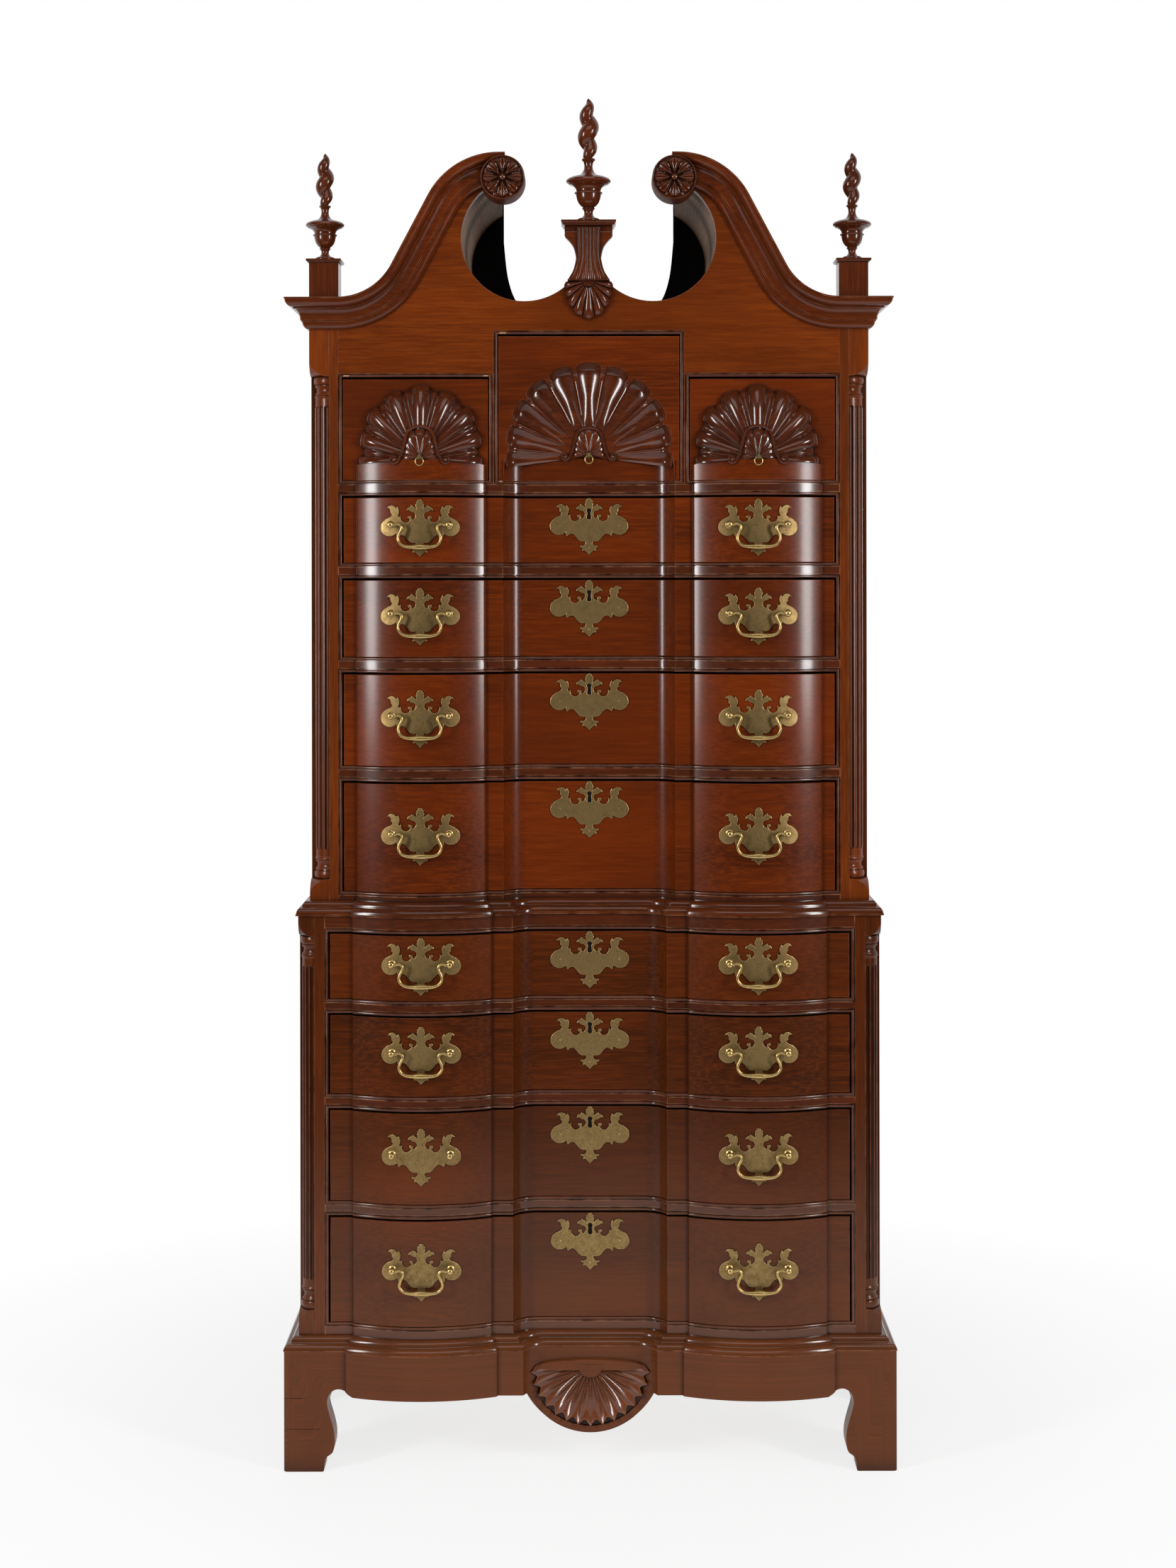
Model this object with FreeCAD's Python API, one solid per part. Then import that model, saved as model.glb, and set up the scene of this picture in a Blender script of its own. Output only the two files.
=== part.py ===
import FreeCAD, Part
import math
import os
from collections import namedtuple

V = FreeCAD.Vector
Plan = namedtuple("Plan", "half front block_out block_in recess")

# Block front: quarter rounds at the ends of each raised block and of the hollow between them
ROUND_STEPS = 3
BLOCK_ROUND = 31.0
BLOCK_CROWN = 3.0
RECESS_ROUND = 30.0

# Depths, taken from the plane of the lower stiles
CASE_DEPTH = 450.0
BASE_STEP = 24.0
UPPER_SET_BACK = 19.5

# Half width of the lower case, how far the upper case steps in, and the flats beside the blocks
LOWER_HALF = 510.0
UPPER_STEP_IN = 18.5
LOWER_END_FLAT = 94.0
UPPER_END_FLAT = 82.0
LOWER_BLOCK_IN = 170.5
UPPER_BLOCK_IN = 181.0
LOWER_INNER_FLAT = 35.5
UPPER_INNER_FLAT = 29.5
BASE_BLOCK_OVER = 11.0
BASE_BLOCK_UNDER = 9.5
BASE_INNER_FLAT = 44.0

# Heights of the base and of the lower openings, from the floor up
BASE_HEIGHT = 209.0
BASE_MOULDING = 23.0
LOWER_BOTTOM_RAIL = 21.0
LOWER_OPENINGS = [187.0, 162.0, 141.0, 117.0]
LOWER_RAIL = 25.3
LOWER_TOP_RAIL = 28.0
WAIST_MOULDING = 25.0

# Heights of the upper case, from the top of the waist moulding up
UPPER_BOTTOM_RAIL = 15.5
UPPER_OPENINGS = [194.0, 164.0, 138.5, 118.0]
UPPER_RAIL = 26.7
SIDE_SHELL_OPENING = 182.0
CENTRE_SHELL_OPENING = 257.0
FRIEZE = 62.5

# Boards
SIDE_THICK = 20.0
FRONT_THICK = 45.0
BACK_THICK = 12.0
BASE_THICK = 40.0
TYMPANUM_THICK = 22.0
TOP_THICK = 15.0
ROOF_THICK = 8.0
LINING_THICK = 6.0

# Drawers
LOWER_STILE = 52.5
UPPER_STILE = 57.2
SHELL_DRAWER_HALF = 159.0
DIVIDER = 15.0
DRAWER_SIDE = 12.0
DRAWER_BOTTOM = 8.0
BOTTOM_RAISE = 6.0
SIDE_LOWER = 6.0
BACK_LOWER = 10.0
BEHIND_DRAWER = 18.0
SIDE_GAP = 1.5
TOP_GAP = 1.5
RUN_GAP = 0.3
INSET = 1.0
RUNNER_THICK = 18.0
RUNNER_IN = 28.0
GUIDE_HIGH = 15.0

# Bracket feet: how far each foot reaches in, and the apron between the feet
FOOT_WIDE = 68.0
FOOT_TOE = [(3, 16), (7, 28), (17, 33)]
FOOT_ANKLE = [(17, 33), (19, 76), (8, 124)]
FOOT_ARCH = [(8, 124), (22, 143)]
ARCH_REACH = 51.0
SIDE_FOOT_WIDE = 96.0
REAR_FOOT_WIDE = 110.0
APRON_LOW = 132.0
PENDANT_R = 120.0
PENDANT_DROP = 151.0
PENDANT_SHELL_R = 106.0
PENDANT_BOSS = 22.0
BOSS_GAP = 0.3
PENDANT_LOBES = 15
PENDANT_RISE = 11.0

# Quarter columns
LOWER_COLUMN_R = 23.5
LOWER_COLUMN_SET = 4.0
LOWER_COLUMN_FOOT = 43.0
LOWER_COLUMN_HEAD = 37.5
UPPER_COLUMN_R = 27.5
UPPER_COLUMN_SET = 7.0
UPPER_COLUMN_FOOT = 37.0
UPPER_COLUMN_HEAD = 136.0
COLUMN_RINGS = 38.0
COLUMN_BEAD = 1.6
COLUMN_NECK = 2.5
COLUMN_STEPS = 4
COLUMN_FLUTES = 4
FLUTE_DEEP = 3.0

# Across the bonnet, as shares of the upper case's half width
CREST_SHARE = 0.3184
CREST_R_SHARE = 0.2848
FOOT_R_SHARE = 0.2157
ROSETTE_SHARE = 0.3046
HOLE_SHARE = 0.2299
NECK_SHARE = 0.5127

# Swan-neck cornice, as the outline of its upper edge
CORNICE_OUT = 40.0
CORNICE_WIDE = 53.5
NECK_CLEAR = 1.5
NECK_STEPS = 5

# Rosettes, round holes and the opening in the back of the bonnet
ROSETTE_DROP = 45.0
ROSETTE_R = 38.7
ROSETTE_OUT = 42.0
ROSETTE_SIDES = 24
ROSETTE_PETALS = 8
ROSETTE_CARVING = 9.0
HOLE_APART = 2.0
HOLE_LOW = 4.0
HOLE_SIDES = 36
BACK_HOLE_OVER = 13.3
BACK_HOLE_BEND_IN = 20.0
BACK_HOLE_FOOT_IN = 43.0

# Centre plinth and corner plinths
PLINTH_CAP_HALF = 48.0
PLINTH_CAP = 9.0
PLINTH_HEAD_HALF = 42.0
PLINTH_HEAD = 11.0
PLINTH_WAIST_HALF = 22.3
PLINTH_WAIST_UP = 48.0
PLINTH_FOOT_HALF = 37.0
PLINTH_HIGH = 104.0
PLINTH_OUT = 30.0
PLINTH_RISE = 30.0
PLINTH_SHELL_R = 42.5
PLINTH_SHELL_HIGH = 67.0
PLINTH_SHELL_RISE = 14.0
SHELL_LOBES = 9
STEM_HALF = 20.0
CORNER_PLINTH = 51.7
CORNER_PLINTH_HIGH = 65.0
CORNER_CAP = 6.0
CORNER_CAP_OUT = 5.0

# Finials: radius and height of the lathe profile, then the twisted flame
FINIAL_PROFILE = [(19.5, 0), (19.5, 4), (7.4, 12), (11, 24), (24.6, 49), (22, 58),
                  (38.7, 65), (36, 70), (5, 97), (11.5, 108)]
FINIAL_SIDES = 10
FLAME_HIGH = 105.0
FLAME_R = 16.5
FLAME_TURN = 300.0
FLAME_STRANDS = 3
CORNER_FINIAL_SCALE = 0.87

# Shells of the three top drawers
SIDE_SHELL_BASE = 25.0
SIDE_SHELL_HIGH = 147.0
SIDE_SHELL_RISE = 34.0
SIDE_EYE_UP = 14.5
CENTRE_SHELL_BASE = 37.0
CENTRE_SHELL_HALF = 149.0
CENTRE_SHELL_HIGH = 171.0
CENTRE_SHELL_DEEP = 26.0
CENTRE_CORE = 1.0
CENTRE_EYE_UP = 7.0
SHELL_BOSS = 24.0
SHELL_BOSS_OVER = 3.0
SHELL_RIM = 5.0
LOBE_RELIEF = 6.0

# Brasses: back plate, posts, bail, ring
POST_SPACING = 101.6
POST_R = 4.0
POST_HEAD_R = 6.0
POST_LONG = 18.0
POST_UP = 7.5
PLATE_THICK = 1.6
PLATE_TOP = [(0, 43.3), (25, 23), (8, 15), (24, 2.5), (38, 10), (42, 31.5), (59.5, 28)]
PLATE_FOOT = [(17, -35), (0, -58.2)]
EAR_X = 48.5
EAR_Z = -3.0
EAR_R = 20.4
EAR_STEPS = 3
BAIL_PATH = [(29, 0, 2.6), (25.5, -5, 2.9), (35, -25, 3.1), (29, -37, 3.4),
             (0, -41.5, 5.0)]
BAIL_GAP = 0.3
BAIL_OUT = 13.0
WIRE_SIDES = 5
ESCUTCHEON_DROP = 54.0
KEY_R = 4.0
KEY_SLOT = 3.0
KEY_LONG = 14.0
LOCK_WIDE = 70.0
LOCK_HIGH = 50.0
LOCK_THICK = 14.0
EYE_R = 6.5
EYE_THICK = 2.0
RING_R = 7.5
RING_WIRE = 1.4
RING_STEPS = 10
RING_OUT = 7.0
LOST_BAILS = ["lower_bail_3_left"]

# Places worked out from the values above
UPPER_HALF = LOWER_HALF - UPPER_STEP_IN
LOWER_BLOCK_OUT = LOWER_HALF - LOWER_END_FLAT
UPPER_BLOCK_OUT = UPPER_HALF - UPPER_END_FLAT
BASE_BLOCK_OUT = LOWER_BLOCK_OUT + BASE_BLOCK_OVER
BASE_BLOCK_IN = LOWER_BLOCK_IN - BASE_BLOCK_UNDER
BLOCK_OUT = BLOCK_ROUND + ((LOWER_BLOCK_OUT - LOWER_BLOCK_IN) / 2 - BLOCK_ROUND) * math.tan(
    math.radians(BLOCK_CROWN / 2))
FRONT = (BASE_STEP + BLOCK_OUT - CASE_DEPTH) / 2
BACK = FRONT + CASE_DEPTH
BACK_IN = BACK - BACK_THICK
LOWER = Plan(LOWER_HALF, FRONT, LOWER_BLOCK_OUT, LOWER_BLOCK_IN,
             LOWER_BLOCK_IN - LOWER_INNER_FLAT)
UPPER = Plan(UPPER_HALF, FRONT + UPPER_SET_BACK, UPPER_BLOCK_OUT, UPPER_BLOCK_IN,
             UPPER_BLOCK_IN - UPPER_INNER_FLAT)
BASE = Plan(LOWER_HALF + BASE_STEP, FRONT - BASE_STEP, BASE_BLOCK_OUT, BASE_BLOCK_IN,
            BASE_BLOCK_IN - BASE_INNER_FLAT)
LOWER_OPEN = LOWER_HALF - LOWER_STILE
UPPER_OPEN = UPPER_HALF - UPPER_STILE
LOWER_DRAWER_HALF = LOWER_OPEN - SIDE_GAP
UPPER_DRAWER_HALF = UPPER_OPEN - SIDE_GAP
SHELL_OPEN = SHELL_DRAWER_HALF + SIDE_GAP
LOWER_Z = BASE_HEIGHT + BASE_MOULDING


def stack(z, heights, gap):
    """Lower and upper edge of each opening, from the bottom up."""
    spans = []
    for height in heights:
        spans.append((z, z + height))
        z += height + gap
    return spans


LOWER_SPANS = stack(LOWER_Z + LOWER_BOTTOM_RAIL, LOWER_OPENINGS, LOWER_RAIL)
LOWER_TOP = LOWER_SPANS[-1][1] + LOWER_TOP_RAIL
WAIST_TOP = LOWER_TOP + WAIST_MOULDING
UPPER_SPANS = stack(WAIST_TOP + UPPER_BOTTOM_RAIL, UPPER_OPENINGS, UPPER_RAIL)
SHELL_Z = UPPER_SPANS[-1][1] + UPPER_RAIL
SIDE_SHELL_TOP = SHELL_Z + SIDE_SHELL_OPENING
CENTRE_SHELL_TOP = SHELL_Z + CENTRE_SHELL_OPENING
CORNICE_TOP = CENTRE_SHELL_TOP + FRIEZE
CREST = CORNICE_TOP + UPPER_HALF * NECK_SHARE
CREST_X = UPPER_HALF * CREST_SHARE
CREST_R = UPPER_HALF * CREST_R_SHARE
NECK_FOOT_X = UPPER_HALF - CORNER_PLINTH - NECK_CLEAR
NECK_FOOT_R = UPPER_HALF * FOOT_R_SHARE
ROSETTE_X = UPPER_HALF * ROSETTE_SHARE
HOLE_X = UPPER_HALF * HOLE_SHARE
HOLE_R = HOLE_X - HOLE_APART
HOLE_Z = CORNICE_TOP - HOLE_LOW + HOLE_R
BACK_HOLE_HALF = ROSETTE_X + BACK_HOLE_OVER
ROSETTE_Z = CREST - ROSETTE_DROP
ROSETTE_BACK = UPPER.front + TYMPANUM_THICK
PLINTH_Z = CORNICE_TOP + PLINTH_RISE
PLINTH_TOP = PLINTH_Z + PLINTH_HIGH


def box(x0, x1, y0, y1, z0, z1):
    return Part.makeBox(x1 - x0, y1 - y0, z1 - z0, V(x0, y0, z0))


def mirrored(shape):
    return shape.mirror(V(0, 0, 0), V(1, 0, 0))


def both(shape):
    return [shape, mirrored(shape)]


def polygon(points):
    return Part.makePolygon(list(points) + [points[0]])


def prism(points, direction):
    return Part.Face(polygon(points)).extrude(direction)


def skin(rings):
    """Solid with flat facets between like-numbered corners of closed rings."""
    faces = [Part.Face(polygon(rings[0])), Part.Face(polygon(rings[-1]))]
    for a, b in zip(rings, rings[1:]):
        for i in range(len(a)):
            j = (i + 1) % len(a)
            normal = (a[j] - a[i]).cross(b[i] - a[i])
            if abs(normal.dot(b[j] - a[i])) < 1e-4 * normal.Length:
                faces.append(Part.Face(polygon([a[i], a[j], b[j], b[i]])))
            else:
                faces.append(Part.Face(polygon([a[i], a[j], b[j]])))
                faces.append(Part.Face(polygon([a[i], b[j], b[i]])))
    shell = Part.makeShell(faces)
    shell.sewShape()
    solid = Part.makeSolid(shell)
    if solid.Volume < 0:
        solid.reverse()
    return solid


def bow(left, right, radius, crown):
    """Points of (x, rise) over a raised block or a hollow, from one end to the other."""
    half, middle = (right - left) / 2, (left + right) / 2
    lean = math.radians(crown)
    turn = math.pi / 2 - lean
    corner = [turn * i / ROUND_STEPS for i in range(ROUND_STEPS + 1)]
    points = [(half - radius + radius * math.cos(t), radius * math.sin(t)) for t in corner]
    if crown:
        points.append((0, radius + (half - radius) * math.tan(lean / 2)))
    rising = [(middle - x, rise) for x, rise in points]
    falling = [(middle + x, rise) for x, rise in reversed(points) if x > 0]
    return rising + falling


def block(left, right):
    return bow(left, right, BLOCK_ROUND, BLOCK_CROWN)


def hollow(left, right):
    return [(x, -rise) for x, rise in bow(left, right, RECESS_ROUND, 0)]


def front_line(plan, z, setback=0.0):
    """Points of a blocked front from left to right at one height."""
    right = block(plan.block_in, plan.block_out)
    left = [(-x, rise) for x, rise in reversed(right)]
    line = ([(-plan.half, 0)] + left + hollow(-plan.recess, plan.recess) + right
            + [(plan.half, 0)])
    return [V(x, plan.front + setback - rise, z) for x, rise in line]


def blocked_board(plan, half, z0, z1, back, setback=0.0):
    """Board with a blocked front and a flat back."""
    points = front_line(plan._replace(half=half), z0, setback)
    return prism(points + [V(half, back, z0), V(-half, back, z0)], V(0, 0, z1 - z0))


def between(a, b, share):
    """Plan part of the way from one stage to the next."""
    return Plan(*[x + (y - x) * share for x, y in zip(a, b)])


# Moulding members, as points of (drop, out)
def thumb(a, b, steps=2):
    turns = [math.pi / 2 * i / steps for i in range(steps + 1)]
    return [(a[0] + (b[0] - a[0]) * (1 - math.cos(t)), a[1] + (b[1] - a[1]) * math.sin(t))
            for t in turns]


def ovolo(a, b, steps=2):
    turns = [math.pi / 2 * i / steps for i in range(steps + 1)]
    return [(a[0] + (b[0] - a[0]) * math.sin(t), b[1] + (a[1] - b[1]) * math.cos(t))
            for t in turns]


def cavetto(a, b, steps=2):
    turns = [math.pi / 2 * i / steps for i in range(steps + 1)]
    return [(b[0] - (b[0] - a[0]) * math.cos(t), a[1] - (a[1] - b[1]) * math.sin(t))
            for t in turns]


def case_moulding(inner, outer, step, top, members):
    """Front length and two side lengths, mitred at the corners, that follow the blocks."""
    lines = [front_line(between(inner, outer, out / step), top - drop) for drop, out in members]
    low = top - members[-1][0]
    sections = [list(s) for s in zip(front_line(inner, top), *lines, front_line(inner, low))]
    corner = sections[-1]
    side = [corner, [V(p.x, BACK, p.z) for p in corner]]
    return [skin(sections)] + both(skin(side))


def base_moulding():
    members = thumb((0, 2), (10, 12.5)) + thumb((10.5, 14), (BASE_MOULDING, BASE_STEP + 0.5))
    return case_moulding(LOWER, BASE, BASE_STEP, LOWER_Z, members)


def waist_moulding():
    low = WAIST_MOULDING - 3.5
    members = (thumb((0, 4), (9.5, 12.5)) + thumb((10.5, 14), (low, UPPER_SET_BACK + 4.5))
               + [(WAIST_MOULDING, UPPER_SET_BACK + 4.5)])
    return case_moulding(UPPER, LOWER, UPPER_SET_BACK, WAIST_TOP, members)


def fan(lobes, spread, start, section, steps=2):
    """Carved fan: a loft of radial sections, each a closed line of (radius, height)."""
    wires = []
    for i in range(lobes * steps + 1):
        angle = math.radians(start + spread * i / (lobes * steps))
        swell = math.sin(math.pi * (i % steps) / steps)
        wires.append([V(r * math.cos(angle), -h, r * math.sin(angle))
                      for r, h in section(angle, swell)])
    return skin(wires)


def curve(a, b, c, steps):
    """Points of (x, z) after a on a smooth bend from a through b at its middle to c."""
    pull = [2 * q - (p + r) / 2 for p, q, r in zip(a, b, c)]
    points = []
    for i in range(1, steps + 1):
        t = i / steps
        points.append([p * (1 - t) ** 2 + 2 * q * t * (1 - t) + r * t ** 2
                       for p, q, r in zip(a, pull, c)])
    return points


def foot_gap(reach, depth, y):
    """What is sawn away inside one bracket foot whose inner edge is at reach; x falls inward."""
    outline = [(0, 0), FOOT_TOE[0]] + curve(*FOOT_TOE, 2) + curve(*FOOT_ANKLE, 3)
    outline += curve(*FOOT_ARCH, (ARCH_REACH, APRON_LOW), 4)
    outline += [(reach, APRON_LOW), (reach, 0)]
    return prism([V(reach - dx, y, z) for dx, z in outline], V(0, depth, 0))


def base_front():
    """Front board of the base: two bracket feet, an apron and the round pendant plate."""
    back = BASE.front + FRONT_THICK
    board = blocked_board(BASE, BASE.half, 0, BASE_HEIGHT, back)
    deep = FRONT_THICK + 2 * BLOCK_OUT
    gap = foot_gap(BASE.half - FOOT_WIDE, deep, back - deep)
    centre_z = PENDANT_R + BASE_HEIGHT - PENDANT_DROP
    plate = Part.makeCylinder(PENDANT_R, deep, V(0, back - deep, centre_z), V(0, 1, 0))
    board = board.cut(Part.makeCompound([gap.cut(plate), mirrored(gap).cut(plate)]))
    return [board] + pendant_shell(board)


def pendant_shell(board):
    """Fan of convex lobes round a half-round boss, fitted into the hollow of the board."""
    def section(angle, swell):
        top = PENDANT_RISE - LOBE_RELIEF / 2 * (1 - swell)
        return [(PENDANT_BOSS, 0), (PENDANT_BOSS, top * 0.6), (PENDANT_SHELL_R * 0.85, top),
                (PENDANT_SHELL_R + 2 * swell, 0)]

    carved = fan(PENDANT_LOBES, 180, 180, section)
    boss = Part.makeCylinder(PENDANT_BOSS - BOSS_GAP, PENDANT_RISE * 0.6, V(0, 0, 0),
                             V(0, -1, 0), 180)
    boss.rotate(V(0, 0, 0), V(0, 1, 0), half_turn_of(boss))
    surface = BASE.front + RECESS_ROUND
    centre_z = PENDANT_R + BASE_HEIGHT - PENDANT_DROP
    place = V(0, surface, centre_z)
    return [carved.translated(place).cut(board), boss.translated(place)]


def half_turn_of(shape):
    """Angle about Y that turns a half disc so that its round side hangs down."""
    return 0 if shape.CenterOfMass.z < 0 else 180


def base_sides():
    """Side boards with bracket feet at both ends, and the two brackets behind the rear feet."""
    start = BASE.front + FRONT_THICK
    board = box(BASE.half - BASE_THICK, BASE.half, start, BACK, 0, BASE_HEIGHT)
    middle = (BASE.front + BACK) / 2
    reach = (BACK - BASE.front) / 2 - SIDE_FOOT_WIDE
    gap = foot_gap(reach, BASE_THICK + 2, 0)
    gap = Part.makeCompound([gap, mirrored(gap)])
    gap.rotate(V(0, 0, 0), V(0, 0, 1), 90)
    gap.translate(V(BASE.half + 1, middle, 0))
    inner = BASE.half - BASE_THICK
    bracket = box(inner - REAR_FOOT_WIDE, inner, BACK - SIDE_THICK, BACK, 0, BASE_HEIGHT)
    tip, half = inner - REAR_FOOT_WIDE, REAR_FOOT_WIDE / 2
    bend = curve((tip + half, APRON_LOW - half), (tip + half * 0.7, APRON_LOW - half * 0.3),
                 (tip, APRON_LOW), 4)
    outline = [(tip, 0), (tip + half, 0), (tip + half, APRON_LOW - half)] + bend
    bracket = bracket.cut(prism([V(x, BACK - SIDE_THICK, z) for x, z in outline],
                                V(0, SIDE_THICK, 0)))
    return both(board.cut(gap)) + both(bracket)


def column_places(plan, radius, setback):
    """Corner from which a quarter column is turned: its flat faces meet there."""
    return V(plan.half - setback - radius, plan.front + setback + radius, 0)


def column_notch(plan, radius, setback, z0, z1):
    corner = column_places(plan, radius, setback)
    return box(corner.x, plan.half + 1, plan.front - 1, corner.y, z0, z1)


def quarter_column(plan, radius, setback, z0, z1):
    """Fluted shaft between two sets of turned rings."""
    corner = column_places(plan, radius, setback)
    shaft = [V(0, 0, 0)]
    step = math.pi / 2 / COLUMN_FLUTES
    shares = [(0.15, radius), (0.5, radius - FLUTE_DEEP), (0.85, radius)]
    shaft += [V(radius, 0, 0)]
    for flute in range(COLUMN_FLUTES):
        for share, r in shares:
            angle = (flute + share) * step
            shaft.append(V(r * math.cos(angle), -r * math.sin(angle), 0))
    shaft.append(V(0, -radius, 0))
    low, high = z0 + COLUMN_RINGS, z1 - COLUMN_RINGS
    solids = [prism([corner + p + V(0, 0, low) for p in shaft], V(0, 0, high - low))]
    proud, neck_r = radius + COLUMN_BEAD, radius - COLUMN_NECK
    rings = [(proud, 0), (proud, 9), (neck_r, 13), (neck_r, 24), (proud, 28), (proud, 35),
             (radius, COLUMN_RINGS)]
    turns = [math.pi / 2 * i / COLUMN_STEPS for i in range(COLUMN_STEPS + 1)]
    turned = skin([[V(0, 0, h)] + [V(r * math.cos(t), -r * math.sin(t), h) for t in turns]
                   for r, h in rings])
    solids.append(turned.translated(corner + V(0, 0, z0)))
    upside = turned.mirror(V(0, 0, 0), V(0, 0, 1))
    solids.append(upside.translated(corner + V(0, 0, z1)))
    return solids


LOWER_COLUMN = (LOWER, LOWER_COLUMN_R, LOWER_COLUMN_SET, LOWER_Z + LOWER_COLUMN_FOOT,
                LOWER_TOP - LOWER_COLUMN_HEAD)
UPPER_COLUMN = (UPPER, UPPER_COLUMN_R, UPPER_COLUMN_SET, WAIST_TOP + UPPER_COLUMN_FOOT,
                CORNICE_TOP - UPPER_COLUMN_HEAD)


def quarter_columns():
    return [s for column in (LOWER_COLUMN, UPPER_COLUMN) for solid in quarter_column(*column)
            for s in both(solid)]


def side_boards(plan, column, z0, z1):
    board = box(plan.half - SIDE_THICK, plan.half, plan.front, BACK, z0, z1)
    return both(board.cut(column_notch(*column)))


def stiles(plan, column, open_half, z0, z1):
    board = box(open_half, plan.half - SIDE_THICK, plan.front, plan.front + FRONT_THICK, z0, z1)
    return both(board.cut(column_notch(*column)))


def rails(plan, open_half, z0, spans):
    """Blocked rails below, between and above the openings."""
    levels = [z0] + [edge for span in spans for edge in span]
    pairs = zip(levels[0::2], levels[1::2])
    back = plan.front + FRONT_THICK
    return [blocked_board(plan, open_half, a, b, back) for a, b in pairs]


def lower_front():
    spans = LOWER_SPANS + [(LOWER_TOP, LOWER_TOP)]
    return (stiles(LOWER, LOWER_COLUMN, LOWER_OPEN, BASE_HEIGHT, LOWER_TOP)
            + rails(LOWER, LOWER_OPEN, BASE_HEIGHT, spans))


def upper_front():
    dividers = box(SHELL_OPEN, SHELL_OPEN + DIVIDER, UPPER.front, UPPER.front + FRONT_THICK,
                   SHELL_Z, SIDE_SHELL_TOP)
    spans = UPPER_SPANS + [(SHELL_Z, SHELL_Z)]
    return (stiles(UPPER, UPPER_COLUMN, UPPER_OPEN, LOWER_TOP, CORNICE_TOP - ROOF_THICK)
            + rails(UPPER, UPPER_OPEN, LOWER_TOP, spans) + both(dividers))


def runner(plan, open_half, z):
    """Runner with its guide, from the back of the rail to the back board."""
    outer = plan.half - SIDE_THICK
    y = plan.front + FRONT_THICK
    points = [(open_half - RUNNER_IN, z - RUNNER_THICK), (outer, z - RUNNER_THICK),
              (outer, z + GUIDE_HIGH), (open_half, z + GUIDE_HIGH), (open_half, z),
              (open_half - RUNNER_IN, z)]
    return both(prism([V(x, y, height) for x, height in points], V(0, BACK_IN - y, 0)))


def lower_runners():
    inner = LOWER.half - SIDE_THICK
    y = LOWER.front + FRONT_THICK
    bottom = box(-inner, inner, y, BACK_IN, BASE_HEIGHT, BASE_HEIGHT + TOP_THICK)
    top = box(-inner, inner, y, BACK_IN, LOWER_TOP - TOP_THICK, LOWER_TOP)
    return [s for z, _ in LOWER_SPANS for s in runner(LOWER, LOWER_OPEN, z)] + [bottom, top]


def upper_runners():
    """Runners, the board under the three top drawers, partitions and the top of the case."""
    inner = UPPER.half - SIDE_THICK
    y = UPPER.front + FRONT_THICK
    solids = [s for z, _ in UPPER_SPANS for s in runner(UPPER, UPPER_OPEN, z)]
    solids.append(box(-inner, inner, y, BACK_IN, SHELL_Z - RUNNER_THICK, SHELL_Z))
    guide = box(UPPER_OPEN, inner, y, BACK_IN, SHELL_Z, SHELL_Z + GUIDE_HIGH)
    partition = box(SHELL_OPEN, SHELL_OPEN + DIVIDER, y, BACK_IN, SHELL_Z, SIDE_SHELL_TOP)
    top = box(-inner, inner, UPPER.front + TYMPANUM_THICK, BACK_IN, CENTRE_SHELL_TOP + 2,
              CENTRE_SHELL_TOP + 2 + TOP_THICK)
    return solids + both(guide) + both(partition) + [top.cut(Part.makeCompound(upper_stiles()))]


def upper_stiles():
    return stiles(UPPER, UPPER_COLUMN, UPPER_OPEN, LOWER_TOP, CORNICE_TOP - ROOF_THICK)


Turn = namedtuple("Turn", "centre radius angle")


def neck():
    """Stations of the left swan neck's upper edge, from its foot up to its crest."""
    foot = V(-NECK_FOOT_X, 0, CORNICE_TOP + NECK_FOOT_R)
    crest = V(-CREST_X, 0, CREST - CREST_R)
    apart = crest - foot
    radii = NECK_FOOT_R + CREST_R
    line = math.sqrt(apart.Length ** 2 - radii ** 2)
    slope = math.atan2(apart.z, apart.x) + math.atan2(radii, line)
    turns = [slope * i / NECK_STEPS for i in range(NECK_STEPS + 1)]
    return ([Turn(foot, NECK_FOOT_R, t) for t in turns]
            + [Turn(crest, -CREST_R, t) for t in reversed(turns)])


def neck_points(start_x, end_x, inside, y):
    """Points of the left swan neck from the corner up to the crest, a distance inside it."""
    points = [V(start_x, y, CORNICE_TOP - inside)]
    for turn in neck():
        inward = V(math.sin(turn.angle), 0, -math.cos(turn.angle))
        points.append(turn.centre + inward * (turn.radius + inside) + V(0, y, 0))
    return points + [V(end_x, y, CREST - inside)]


def swan_neck():
    """Left swan-neck moulding: sections square to its upper edge, mitred at the corner."""
    members = ([(0, 0), (0, CORNICE_OUT)] + ovolo((3, CORNICE_OUT), (16, 27))
               + cavetto((19, 25.2), (38.5, 14)) + ovolo((41.5, 10), (CORNICE_WIDE, 0)))

    def section(origin, inward, skew=0.0):
        return [origin + inward * drop + V(-skew * out, -out, 0) for drop, out in members]

    edge = neck_points(-UPPER.half, -ROSETTE_X, 0, UPPER.front)
    angles = [0] + [turn.angle for turn in neck()] + [0]
    stations = [section(point, V(math.sin(t), 0, -math.cos(t)), float(i == 0))
                for i, (point, t) in enumerate(zip(edge, angles))]
    side = [stations[0], [V(-UPPER.half - out, BACK, CORNICE_TOP - drop)
                          for drop, out in members]]
    return skin(stations).cut(rosette_drum()), skin(side)


def disc(x, y, z, radius, depth, sides):
    """Round piece that runs back from y, with flat sides."""
    turns = [2 * math.pi * (i + 0.5) / sides for i in range(sides)]
    return prism([V(x + radius * math.cos(a), y, z + radius * math.sin(a)) for a in turns],
                 V(0, depth, 0))


def rosette_drum():
    """Left rosette's drum, which runs through the scroll board."""
    front = UPPER.front - ROSETTE_OUT
    return disc(-ROSETTE_X, front, ROSETTE_Z, ROSETTE_R, ROSETTE_BACK - front, ROSETTE_SIDES)


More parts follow.
